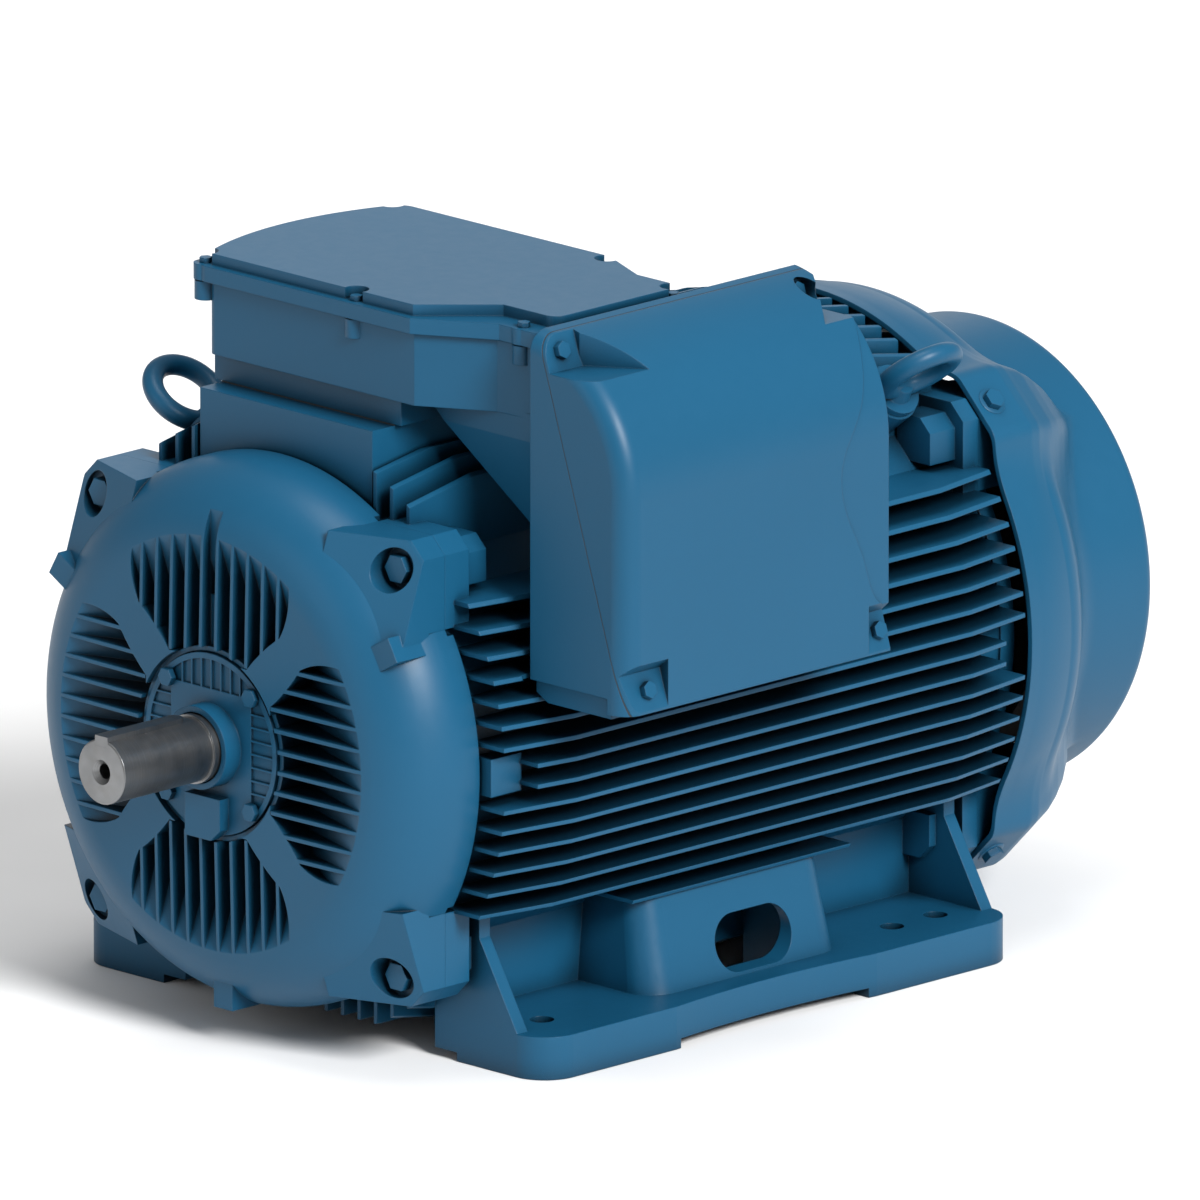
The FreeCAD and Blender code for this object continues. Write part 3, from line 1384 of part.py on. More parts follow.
def make_terminal_box():
    s = Sizes
    gasket = 1
    base = common([box_shell(), behind_seam(0)])
    lid = cut(box_shell(), behind_seam(gasket))
    sheet = cut(common([box_shell(), behind_seam(gasket)]), behind_seam(0))

    entry_holes = [rod(ENTRY_RADIUS, (ENTRY_X, y, s.box_bottom_z - 1), BOX_WALL + 2, "z")
                   for y in ENTRY_SPOTS]
    window = box((s.box_back_x - 1, WINDOW["low_y"], WINDOW["low_z"]),
                 (s.box_back_x + BOX_WALL + 1, WINDOW["high_y"], WINDOW["high_z"]))
    neck_holes = [rod(5.6, (s.box_back_x - 1, y, z), 10, "x") for y, z in neck_bolt_spots()]
    threads = [lean_rod(5, y, z, -LID_SHANKS[z] - 1, LID_SHANKS[z] + 1) for y, z in LID_BOLTS]
    keep(cut(base, fuse(entry_holes + [window] + neck_holes + threads)), "terminal_box_base")

    passages = [lean_rod(5.6, y, z, -LID_TAB - 2, LID_TAB + 4) for y, z in LID_BOLTS]
    head_spaces = [lean_rod(15, y, z, 0, 70) for y, z in LID_BOLTS]
    tools = upper_scoops() + lower_scoops() + passages + head_spaces + [lid_leaf()]
    tab = cut(common([lid, behind_seam(LID_TAB)]), fuse(passages))
    body = cut(cut(lid, behind_seam(LID_TAB)), fuse(tools))
    keep(fuse([tab, body]), "terminal_box_lid")
    keep(cut(sheet, fuse(passages)), "terminal_box_gasket")

    bolts = []
    for y, z in LID_BOLTS:
        seat, direction = lid_seat(y, z)
        bolts.append(hex_bolt(seat, direction, LID_BOLT_FLATS, 4.9, LID_SHANKS[z], 8))
    keep(compound(bolts), "terminal_lid_bolts")
    neck_bolts = [hex_bolt((s.box_back_x + BOX_WALL, y, z), (1, 0, 0), s.m10_flats, 4.9, 26, 6.5)
                  for y, z in neck_bolt_spots()]
    keep(compound(neck_bolts), "terminal_box_bolts")


GLAND_PLATE = {"back_x": 348, "low_y": -366, "high_y": 41}


def make_gland_plate():
    """Plate under the box that carries the cable entries."""
    s = Sizes
    plate = GLAND_PLATE
    low, high = s.gland_plate_z, s.box_bottom_z
    front = s.box_front_bar_x - 0.5
    outline = [(plate["back_x"], low + 10), (plate["back_x"] + 18, low), (front, low),
               (front, high), (plate["back_x"], high)]
    slab = padded("gland_slab", "XZ_Plane", [outline], plate["low_y"],
                  plate["high_y"] - plate["low_y"])
    hollow = box((plate["back_x"] + 22, plate["low_y"] + 24, low + 10),
                 (s.box_front_bar_x - 22, plate["high_y"] - 24, high + 1))
    holes = [rod(ENTRY_RADIUS, (ENTRY_X, y, low - 1), 30, "z") for y in ENTRY_SPOTS]
    keep(cut(slab, fuse([hollow] + holes)), "gland_plate")


BOARD = {"thick": 22, "low_y": -270, "high_y": -55, "low_z": 520, "high_z": 640}
STUD_ROWS = (550, 612)
STUD_COLUMNS = (-235, -162, -90)


def make_terminals():
    s = Sizes
    plugs = []
    for y in ENTRY_SPOTS:
        thread = rod(ENTRY_RADIUS - 0.15, (ENTRY_X, y, s.gland_plate_z), 10, "z")
        flange = rod(38, (ENTRY_X, y, s.gland_plate_z - 4), 4, "z")
        grip = primitive("Prism", (ENTRY_X, y, s.gland_plate_z - 10),
                         Polygon=6, Circumradius=20, Height=6)
        plugs.append(fuse([thread, flange, grip]))
    keep(compound(plugs), "entry_plugs")
    board_back = s.box_back_x + BOX_WALL
    b = BOARD
    face = board_back + b["thick"]
    slab = box((board_back, b["low_y"], b["low_z"]), (face, b["high_y"], b["high_z"]))
    walls = [box((board_back, y - 3, b["low_z"]), (face + 22, y + 3, b["high_z"]))
             for y in (-199, -126)]
    stud_holes = [rod(6.2, (board_back + 4, y, z), 60, "x")
                  for y in STUD_COLUMNS for z in STUD_ROWS]
    keep(cut(fuse([slab] + walls), fuse(stud_holes)), "terminal_board")
    studs, nuts, links = [], [], []
    for y in STUD_COLUMNS:
        for z in STUD_ROWS:
            studs.append(rod(6, (board_back + 6, y, z), 60, "x"))
            for start in (face, face + 13):
                nut = primitive("Prism", (start, y, z), ALONG["x"],
                                Polygon=6, Circumradius=11, Height=10)
                nuts.append(cut(nut, rod(6.1, (start - 1, y, z), 14, "x")))
        plate = box((face + 10, y - 11, STUD_ROWS[0] - 14), (face + 13, y + 11, STUD_ROWS[1] + 14))
        ends = [rod(6.3, (face + 9, y, z), 6, "x") for z in STUD_ROWS]
        links.append(cut(plate, fuse(ends)))
    keep(compound(studs), "terminal_studs")
    keep(compound(nuts), "terminal_nuts")
    keep(compound(links), "terminal_links")


def make_leads():
    """Three lead bundles from the winding up the duct and down to the board."""
    radius, bend = 9, 26
    drop_x = 389
    end_z = 628
    leads = []
    for number, column in enumerate(STUD_COLUMNS):
        x, y = -40 + 40 * number, -290 + 21 * number
        level = 784 + 17 * number
        turn_z = 690 + 30 * number
        points = [
            Vector(x, y, 615),
            Vector(x, y, level),
            Vector(drop_x, y, level),
            Vector(drop_x, y, turn_z),
            Vector(drop_x, column, turn_z - 30),
            Vector(drop_x, column, end_z),
        ]
        leads.append(feature(tube_along(points, radius, bend)))
    keep(compound(leads), "phase_leads")


def tube_along(points, radius, bend):
    """Round tube of straight runs joined by tangent arcs."""
    edges = []
    start = points[0]
    for index in range(1, len(points) - 1):
        corner = points[index]
        back = (points[index - 1] - corner).normalize()
        ahead = (points[index + 1] - corner).normalize()
        turn = math.pi - back.getAngle(ahead)
        trim = bend * math.tan(turn / 2)
        first, last = corner + back * trim, corner + ahead * trim
        inward = (back + ahead).normalize()
        middle = corner + inward * (bend / math.cos(turn / 2) - bend)
        edges.append(Part.LineSegment(start, first).toShape())
        edges.append(Part.Arc(first, middle, last).toShape())
        start = last
    edges.append(Part.LineSegment(start, points[-1]).toShape())
    path = Part.Wire(edges)
    ring = Part.Wire(Part.makeCircle(radius, points[0], points[1] - points[0]))
    return path.makePipeShell([ring], True, False)


# ---------------------------------------------------------------- bolts and plugs

def make_bolts():
    s = Sizes
    front, back = [], []
    for x, z in four_corners(s.lug_bolt):
        for bolts, seat, away in ((front, s.shield_bolt_seat_y, -1), (back, s.back_shield_seat_y, 1)):
            spot = (x, seat, AXIS + z)
            bolts.append(hex_bolt(spot, (0, away, 0), s.m20_flats, 9.8, 78, 12.5))
    keep(compound(front), "endshield_bolts_de")
    keep(compound(back), "endshield_bolts_nde")
    caps, back_caps = [], []
    for x, z in four_corners(s.cap_bolt):
        spot = (x, s.cap_face_y, AXIS + z)
        caps.append(hex_bolt(spot, (0, -1, 0), s.m12_flats, 5.8, 106, 7.5))
    for x, z in four_corners(NDE_CAP_BOLT):
        spot = (x, s.frame_back_y + 90, AXIS + z)
        back_caps.append(hex_bolt(spot, (0, 1, 0), s.m10_flats, 4.8, 78, 6.5))
    keep(compound(caps), "bearing_cap_bolts_de")
    keep(compound(back_caps), "bearing_cap_bolts_nde")
    cover = []
    reach = float(s.ear_land) * math.sqrt(0.5)
    for x, z in four_corners(reach):
        sides = (math.copysign(1, x), 0, math.copysign(1, z))
        cover.append(hex_bolt((x, COVER_BOLT_Y, AXIS + z), sides, 22, 5.8, 24, 9))
    keep(compound(cover), "fan_cover_bolts")
    drains = [rod(5.8, (0, s.frame_front_y - 12, AXIS - 316.5), 26, "z"),
              rod(5.8, (0, 430, AXIS - 307.5), 20, "z")]
    keep(compound(drains), "drain_plugs")


# ---------------------------------------------------------------- making and writing

def check_document():
    DOC.recompute()
    faults = []
    for piece in FINISHED:
        for thing in [piece] + piece.OutListRecursive:
            if "Invalid" in thing.State or "Error" in thing.State:
                faults.append("%s in %s" % (thing.Name, piece.Label))
        if piece.Shape.isNull() or not piece.Shape.isValid() or not piece.Shape.Solids:
            faults.append("shape of %s" % piece.Label)
    for thing in DOC.Objects:
        if "Invalid" in thing.State or "Error" in thing.State:
            faults.append(thing.Name)
    if faults:
        raise RuntimeError("failed: " + ", ".join(faults))


def write_pieces():
    os.makedirs("parts", exist_ok=True)
    for piece in FINISHED:
        piece.Shape.exportStep("parts/%s.step" % piece.Label)
        box_of = piece.Shape.BoundBox
        print("%-26s %3d solids %12.0f mm3  z %.1f..%.1f"
              % (piece.Label, len(piece.Shape.Solids), piece.Shape.Volume, box_of.ZMin, box_of.ZMax))


def main():
    s = Sizes
    make_shaft()
    make_keys()
    make_bearing("de", s.de_bore, s.de_outer, s.de_front_y, s.de_width, s.de_ball)
    make_bearing("nde", s.nde_bore, s.nde_outer, s.nde_front_y, s.nde_width, s.nde_ball)
    make_seal_rings()
    make_rotor()
    make_fan()
    make_stator()
    make_frame()
    make_eyebolts()
    make_rating_plate()
    make_front_shield()
    make_back_shield()
    make_bearing_caps()
    make_fan_cover()
    make_adaptor()
    make_adaptor_cover()
    make_terminal_box()
    make_gland_plate()
    make_terminals()
    make_leads()
    make_bolts()
    check_document()
    write_pieces()


main()
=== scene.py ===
"""Look of the foot-mounted electric motor: finishes, detailed shells, light and camera.

Everything is in metres in the part's own frame: +Z up, the shaft along Y with
its driving end towards -Y, the terminal box on the +X side.
"""

import json
import math

import bpy
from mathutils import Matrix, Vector


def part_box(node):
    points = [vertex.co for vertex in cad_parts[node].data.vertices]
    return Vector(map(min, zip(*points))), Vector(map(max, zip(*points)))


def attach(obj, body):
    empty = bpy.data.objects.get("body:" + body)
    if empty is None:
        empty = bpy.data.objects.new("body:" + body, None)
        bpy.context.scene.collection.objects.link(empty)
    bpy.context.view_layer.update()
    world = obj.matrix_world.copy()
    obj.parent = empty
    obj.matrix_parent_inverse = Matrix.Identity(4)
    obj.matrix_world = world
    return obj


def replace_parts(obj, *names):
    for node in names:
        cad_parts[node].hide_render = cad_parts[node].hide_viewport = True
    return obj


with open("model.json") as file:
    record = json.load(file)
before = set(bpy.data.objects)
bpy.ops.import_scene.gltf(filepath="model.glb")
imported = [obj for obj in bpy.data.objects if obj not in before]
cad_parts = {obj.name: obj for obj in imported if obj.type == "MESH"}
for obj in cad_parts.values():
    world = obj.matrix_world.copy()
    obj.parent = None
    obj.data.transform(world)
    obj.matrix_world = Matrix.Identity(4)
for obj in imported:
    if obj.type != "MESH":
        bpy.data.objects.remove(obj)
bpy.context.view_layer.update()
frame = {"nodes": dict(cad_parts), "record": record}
NODES = frame["nodes"]
SCENE = bpy.context.scene

AXIS_Z = sum(corner.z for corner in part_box("shaft")) / 2
MM = 0.001


# ---------------------------------------------------------------- finishes

class Nodes:
    """Short way to add and link the nodes of one finish."""

    def __init__(self, name):
        self.material = bpy.data.materials.new(name)
        self.material.use_nodes = True
        self.tree = self.material.node_tree
        self.tree.nodes.clear()
        self.shader = self.add("ShaderNodeBsdfPrincipled")
        output = self.add("ShaderNodeOutputMaterial")
        self.link(self.shader, "BSDF", output, "Surface")
        self.place = self.add("ShaderNodeTexCoord")

    def add(self, kind, **settings):
        node = self.tree.nodes.new(kind)
        for key, value in settings.items():
            setattr(node, key, value)
        return node

    def link(self, source, output, target, socket):
        self.tree.links.new(source.outputs[output], target.inputs[socket])

    def noise(self, scale, detail=2.0, roughness=0.5, stretch=None):
        node = self.add("ShaderNodeTexNoise")
        node.inputs["Scale"].default_value = scale
        node.inputs["Detail"].default_value = detail
        node.inputs["Roughness"].default_value = roughness
        if stretch:
            mapping = self.add("ShaderNodeMapping")
            mapping.inputs["Scale"].default_value = stretch
            self.link(self.place, "Object", mapping, "Vector")
            self.link(mapping, "Vector", node, "Vector")
        else:
            self.link(self.place, "Object", node, "Vector")
        return node

    def ramp(self, source, output, stops):
        """Colour of a 0 to 1 value by stops; a stop's shade is a grey or a colour."""
        node = self.add("ShaderNodeValToRGB")
        band = node.color_ramp
        while len(band.elements) < len(stops):
            band.elements.new(0.5)
        for element, (position, shade) in zip(band.elements, stops):
            element.position = position
            element.color = (*shade, 1) if hasattr(shade, "__len__") else (shade, shade, shade, 1)
        self.link(source, output, node, "Fac")
        return node.outputs["Color"]

    def span(self, source, output, low, high):
        """Turn a 0 to 1 value into a low to high value."""
        node = self.add("ShaderNodeMapRange")
        node.inputs["To Min"].default_value = low
        node.inputs["To Max"].default_value = high
        self.link(source, output, node, "Value")
        return node.outputs["Result"]

    def times(self, first, second):
        """Product of two colours."""
        node = self.add("ShaderNodeMix", data_type="RGBA", blend_type="MULTIPLY")
        node.inputs["Factor"].default_value = 1.0
        self.tree.links.new(first, node.inputs[6])
        self.tree.links.new(second, node.inputs[7])
        return node.outputs[2]

    def drive(self, socket, value):
        """Let a varying value or colour drive one socket of the shader."""
        self.tree.links.new(value, self.shader.inputs[socket])

    def bumps(self, layers, rounding=None):
        """Stack (node, output, strength, depth) layers of relief on rounded edges."""
        last = None
        if rounding:
            last = self.add("ShaderNodeBevel", samples=4)
            last.inputs["Radius"].default_value = rounding
        for source, output, strength, depth in layers:
            bump = self.add("ShaderNodeBump")
            bump.inputs["Strength"].default_value = strength
            bump.inputs["Distance"].default_value = depth
            self.link(source, output, bump, "Height")
            if last:
                self.link(last, "Normal", bump, "Normal")
            last = bump
        self.link(last, "Normal", self.shader, "Normal")

    def plain(self, **values):
        """Numbers and colours that are the same all over the surface."""
        for name, value in values.items():
            self.shader.inputs[name.replace("_", " ")].default_value = value


def enamel(name, blue):
    """Satin paint over a sand casting, with painted shade that darkens its colour where faces crowd
    together.
    """
    n = Nodes(name)
    drift = n.noise(2.5, 2.0)
    mottle = n.noise(60.0, 4.0, 0.6)
    light = tuple(channel * 1.03 for channel in blue)
    dark = tuple(channel * 0.97 for channel in blue)
    base = n.ramp(drift, "Fac", [(0.3, dark), (0.7, light)])
    spots = n.ramp(mottle, "Fac", [(0.35, 0.985), (0.65, 1.0)])
    tinted = n.times(base, spots)
    # Painted shade: ambient occlusion darkens the paint's colour in recesses, pockets and fin gaps, where
    # shade falls.
    corner = n.add("ShaderNodeAmbientOcclusion", samples=4)
    corner.inputs["Distance"].default_value = 0.05
    shade = n.ramp(corner, "AO", [(0.25, 0.12), (0.8, 1.0)])
    n.drive("Base Color", n.times(tinted, shade))
    n.drive("Roughness", n.span(mottle, "Fac", 0.36, 0.44))
    grain = n.noise(420.0, 3.0, 0.55)
    peel = n.noise(1500.0, 1.0)
    n.bumps([(grain, "Fac", 0.06, 0.0005), (peel, "Fac", 0.03, 0.0002)], rounding=0.0018)
    n.plain(Specular_IOR_Level=0.25)
    return n.material


def turned_steel(name, tone, rust=0.0):
    """Ground or turned steel with fine rings round the shaft's axis."""
    n = Nodes(name)
    rings = n.noise(1.0, 2.0, 0.7, stretch=(20, 2400, 20))
    cloud = n.noise(35.0, 4.0, 0.6)
    dark = tuple(channel * 0.78 for channel in tone)
    light = tuple(min(1, channel * 1.12) for channel in tone)
    base = n.ramp(rings, "Fac", [(0.3, dark), (0.7, light)])
    rusty = (1 - 0.3 * rust, 1 - 0.42 * rust, 1 - 0.55 * rust)
    stain = n.ramp(cloud, "Fac", [(0.45, (1, 1, 1)), (0.75, rusty)])
    n.drive("Base Color", n.times(base, stain))
    n.drive("Roughness", n.span(cloud, "Fac", 0.28, 0.46))
    n.bumps([(rings, "Fac", 0.18, 0.0001)], rounding=0.0006)
    n.plain(Metallic=1.0)
    return n.material


def polished_steel(name):
    """Ground and polished steel, nearly a mirror."""
    n = Nodes(name)
    cloud = n.noise(90.0, 3.0)
    n.drive("Base Color", n.ramp(cloud, "Fac", [(0.3, (0.60, 0.61, 0.63)), (0.7, (0.74, 0.75, 0.76))]))
    n.drive("Roughness", n.span(cloud, "Fac", 0.08, 0.2))
    n.bumps([(n.noise(900.0, 2.0), "Fac", 0.03, 0.0001)], rounding=0.0004)
    n.plain(Metallic=1.0)
    return n.material


def plated_steel(name):
    """Zinc plating: pale, slightly yellow, with a fine spangle."""
    n = Nodes(name)
    cells = n.add("ShaderNodeTexVoronoi")
    cells.inputs["Scale"].default_value = 320.0
    n.link(n.place, "Object", cells, "Vector")
    haze = n.noise(45.0, 3.0)
    base = n.ramp(cells, "Distance", [(0.1, (0.50, 0.50, 0.47)), (0.8, (0.66, 0.65, 0.60))])
    tint = n.ramp(haze, "Fac", [(0.35, (0.92, 0.90, 0.82)), (0.7, (1, 1, 1))])
    n.drive("Base Color", n.times(base, tint))
    n.drive("Roughness", n.span(haze, "Fac", 0.28, 0.45))
    n.bumps([(cells, "Distance", 0.05, 0.0001)], rounding=0.0005)
    n.plain(Metallic=1.0)
    return n.material


def soft_metal(name, dark, light, low_rough, high_rough, grain=300.0):
    """Brass or cast aluminium: warm or cool metal with a cast or sawn grain."""
    n = Nodes(name)
    cloud = n.noise(50.0, 4.0, 0.6)
    fine = n.noise(grain, 3.0, 0.6)
    n.drive("Base Color", n.ramp(cloud, "Fac", [(0.3, dark), (0.7, light)]))
    n.drive("Roughness", n.span(cloud, "Fac", low_rough, high_rough))
    n.bumps([(fine, "Fac", 0.12, 0.0003)], rounding=0.0005)
    n.plain(Metallic=1.0)
    return n.material


def bare_iron(name):
    """Unpainted grey iron with the grain of the sand mould."""
    n = Nodes(name)
    cloud = n.noise(40.0, 5.0, 0.65)
    fine = n.noise(500.0, 4.0, 0.6)
    n.drive("Base Color", n.ramp(cloud, "Fac", [(0.3, (0.10, 0.095, 0.09)), (0.7, (0.2, 0.19, 0.175))]))
    n.drive("Roughness", n.span(fine, "Fac", 0.5, 0.75))
    n.bumps([(fine, "Fac", 0.35, 0.0006)], rounding=0.0012)
    n.plain(Metallic=0.7)
    return n.material


def laminated(name):
    """Edges of a stack of half-millimetre sheets, blued by heat."""
    n = Nodes(name)
    sheets = n.add("ShaderNodeTexWave", wave_type="BANDS", bands_direction="Y")
    sheets.inputs["Scale"].default_value = 320.0
    sheets.inputs["Distortion"].default_value = 0.4
    n.link(n.place, "Object", sheets, "Vector")
    cloud = n.noise(25.0, 4.0)
    base = n.ramp(sheets, "Fac", [(0.2, (0.10, 0.11, 0.14)), (0.8, (0.26, 0.26, 0.27))])
    heat = n.ramp(cloud, "Fac", [(0.35, (0.8, 0.85, 1.0)), (0.7, (1.0, 0.93, 0.85))])
    n.drive("Base Color", n.times(base, heat))
    n.drive("Roughness", n.span(cloud, "Fac", 0.38, 0.55))
    n.bumps([(sheets, "Fac", 0.3, 0.0002)])
    n.plain(Metallic=0.9)
    return n.material


def wound_copper(name):
    """Varnished wire: rows of round wires, tied into a ring."""
    n = Nodes(name)
    wires = n.add("ShaderNodeTexWave", wave_type="RINGS", rings_direction="Y")
    wires.inputs["Scale"].default_value = 170.0
    wires.inputs["Distortion"].default_value = 2.0
    wires.inputs["Detail"].default_value = 1.0
    n.link(n.place, "Object", wires, "Vector")
    varnish = n.noise(30.0, 4.0, 0.6)
    base = n.ramp(wires, "Fac", [(0.1, (0.16, 0.045, 0.015)), (0.7, (0.50, 0.17, 0.05))])
    pool = n.ramp(varnish, "Fac", [(0.35, (0.6, 0.5, 0.4)), (0.7, (1, 1, 1))])
    n.drive("Base Color", n.times(base, pool))
    n.drive("Roughness", n.span(varnish, "Fac", 0.2, 0.4))
    n.bumps([(wires, "Fac", 0.6, 0.001)])
    n.plain(Coat_Weight=0.4, Coat_Roughness=0.15)
    return n.material


def moulded(name, dark, light, low_rough, high_rough, grain, depth, sheen=0.0):
    """Moulded plastic or rubber with a fine eroded texture."""
    n = Nodes(name)
    cloud = n.noise(20.0, 3.0)
    fine = n.noise(grain, 3.0, 0.6)
    n.drive("Base Color", n.ramp(cloud, "Fac", [(0.3, dark), (0.7, light)]))
    n.drive("Roughness", n.span(fine, "Fac", low_rough, high_rough))
    n.bumps([(fine, "Fac", 0.2, depth)], rounding=0.0006)
    n.plain(Sheen_Weight=sheen)
    return n.material


def brushed_plate(name):
    """Stainless plate brushed along Y."""
    n = Nodes(name)
    strokes = n.noise(1.0, 3.0, 0.7, stretch=(1200, 30, 1200))
    cloud = n.noise(18.0, 2.0)
    n.drive("Base Color", n.ramp(strokes, "Fac", [(0.3, (0.36, 0.36, 0.355)), (0.7, (0.52, 0.52, 0.51))]))
    n.drive("Roughness", n.span(cloud, "Fac", 0.22, 0.38))
    n.bumps([(strokes, "Fac", 0.12, 0.0001)], rounding=0.0004)
    n.plain(Metallic=1.0)
    return n.material


HOUSING_BLUE = (0.006, 0.072, 0.146)

FINISHES = {
    "housing_paint": enamel("housing_paint", HOUSING_BLUE),
    "bare_casting": bare_iron("bare_casting"),
    "machined_steel": turned_steel("machined_steel", (0.23, 0.235, 0.24), rust=0.25),
    "bearing_steel": polished_steel("bearing_steel"),
    "cage_brass": soft_metal("cage_brass", (0.55, 0.36, 0.12), (0.74, 0.52, 0.20), 0.22, 0.38),
    "zinc_steel": plated_steel("zinc_steel"),
    "core_steel": laminated("core_steel"),
    "cast_aluminium": soft_metal("cast_aluminium", (0.52, 0.53, 0.54), (0.70, 0.71, 0.72), 0.35, 0.55,
                                 grain=200.0),
    "winding_enamel": wound_copper("winding_enamel"),
    "black_rubber": moulded("black_rubber", (0.012, 0.012, 0.012), (0.025, 0.025, 0.025), 0.6, 0.8,
                            grain=700.0, depth=0.0003),
    "fan_plastic": moulded("fan_plastic", (0.014, 0.014, 0.016), (0.03, 0.03, 0.033), 0.4, 0.6,
                           grain=900.0, depth=0.0003),
    "board_plastic": moulded("board_plastic", (0.08, 0.04, 0.025), (0.13, 0.07, 0.045), 0.35, 0.5,
                             grain=800.0, depth=0.0003),
    "lead_sleeve": moulded("lead_sleeve", (0.25, 0.035, 0.025), (0.34, 0.06, 0.045), 0.45, 0.6,
                           grain=500.0, depth=0.0004, sheen=0.1),
    "plate_metal": brushed_plate("plate_metal"),
}


def finish_cad_nodes():
    for entry in frame["record"]["subparts"]:
        target = NODES[entry["node"]]
        finish = FINISHES[entry["material_slot"]]
        target.data.materials.clear()
        target.data.materials.append(finish)


# ---------------------------------------------------------------- fan cover

# Millimetres from here on: radius or half-width against y, with a third number
# for an arc's radius.  The ears are the four corners that carry the screws.
COVER_TOP = [(354, 421), (352, 440), (341, 498, 240), (329.2, 526, 42), (289, 566.5), (269, 612, -58),
             (271, 690.2), (255.6, 705.6, 15.4), (243, 705.6), (231, 705.6)]
COVER_WALL = 6
EAR_LAND = [(421, 374), (480, 374), (495, 370), (506, 365), (530, 355), (553, 342), (580, 324), (604, 303.5),
            (626, 285), (645, 266), (706, 200)]
EAR_HALF = [(421, 43), (495, 43), (520, 40), (553, 34), (604, 22), (626, 8), (645, 0), (706, 0)]
COVER_BACK = 705.6
COVER_INSIDE = COVER_BACK - COVER_WALL
ROUND_BELOW = 262
GRILLE_FIRST = 62
GRILLE_PITCH = 16
GRILLE_SLOT = 9
GRILLE_RINGS = 10
GRILLE_BARS = 8
BAR_HALF = 5.5
EDGE = 1.2
SEAT_LAND = 374
SEAT_Y = 446
SEAT_RADIUS = 17


def piece(name, points, faces, slot, sharp=40):
    """New piece fixed to the motor's body, from points in millimetres."""
    mesh = bpy.data.meshes.new(name)
    mesh.from_pydata([[value * MM for value in point] for point in points], [], faces)
    mesh.validate()
    mesh.shade_smooth()
    mesh.set_sharp_from_angle(angle=math.radians(sharp))
    thing = bpy.data.objects.new(name, mesh)
    SCENE.collection.objects.link(thing)
    mesh.materials.append(FINISHES[slot])
    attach(thing, "root")
    return thing


def arc_between(start, end, bend, steps):
    """Points after start up to end on an arc of radius |bend|; a positive bend turns left."""
    chord_x, chord_y = end[0] - start[0], end[1] - start[1]
    length = math.hypot(chord_x, chord_y)
    rise = math.copysign(math.sqrt(bend * bend - length * length / 4), bend)
    centre_x = (start[0] + end[0]) / 2 - chord_y / length * rise
    centre_y = (start[1] + end[1]) / 2 + chord_x / length * rise
    first = math.atan2(start[1] - centre_y, start[0] - centre_x)
    last = math.atan2(end[1] - centre_y, end[0] - centre_x)
    turn = (last - first + math.pi) % (2 * math.pi) - math.pi
    angles = [first + turn * step / steps for step in range(1, steps + 1)]
    return [(centre_x + abs(bend) * math.cos(angle), centre_y + abs(bend) * math.sin(angle))
            for angle in angles]


def stations(corners, longest):
    """Close-set points along an outline of corners and arcs."""
    points = [corners[0][:2]]
    for corner in corners[1:]:
        start = points[-1]
        steps = max(1, math.ceil(math.dist(start, corner[:2]) / longest))
        if len(corner) > 2:
            points += arc_between(start, corner[:2], corner[2], steps * 2)
        else:
            points += [(start[0] + (corner[0] - start[0]) * step / steps,
                        start[1] + (corner[1] - start[1]) * step / steps) for step in range(1, steps + 1)]
    return points


def shifted(points, distance):
    """The same outline moved inwards, to the left of its direction."""
    result = []
    for index, point in enumerate(points):
        before = points[max(index - 1, 0)]
        after = points[min(index + 1, len(points) - 1)]
        along = (after[0] - before[0], after[1] - before[1])
        length = math.hypot(*along)
        result.append((point[0] - along[1] / length * distance, point[1] + along[0] / length * distance))
    return result


def value_at(table, position):
    """Value of a table of (position, value) pairs, straight between its entries."""
    for (low, first), (high, last) in zip(table, table[1:]):
        if position <= high:
            return first + (last - first) * max(position - low, 0) / (high - low)
    return table[-1][1]


def soft_least(first, second, blend):
    """The smaller of two numbers, with a smooth change where they are close."""
    overlap = max(blend - abs(first - second), 0)
    return min(first, second) - overlap * overlap / (4 * blend)


def cover_reach(radius, y, turn, inset):
    """Distance from the axis to the cover, whose corner ears melt into its round body."""
    land = value_at(EAR_LAND, y) - inset
    half = value_at(EAR_HALF, y)
    flat = land / math.cos(turn)
    flank = (land + half) / (math.cos(turn) + abs(math.sin(turn)))
    ear = soft_least(flat, flank, 9)
    return -soft_least(-radius, -ear, 22)


def ring_faces(rows, count):
    """Quadrilaterals between neighbouring closed rows of equal count."""
    faces = []
    for row in range(rows - 1):
        for step in range(count):
            a, b = row * count + step, row * count + (step + 1) % count
            faces.append((a, b, b + count, a + count))
    return faces


def lathe(outline, count=144):
    """Closed round solid about the shaft's axis from (radius, y) points that don't reach it."""
    points = []
    for radius, y in outline + outline[:1]:
        for step in range(count):
            angle = 2 * math.pi * step / count
            points.append((radius * math.cos(angle), y, AXIS_Z / MM + radius * math.sin(angle)))
    return points, ring_faces(len(outline) + 1, count)


def together(parts):
    """One list of points and one of faces from several."""
    points, faces = [], []
    for more_points, more_faces in parts:
        base = len(points)
        points += more_points
        faces += [tuple(base + corner for corner in face) for face in more_faces]
    return points, faces


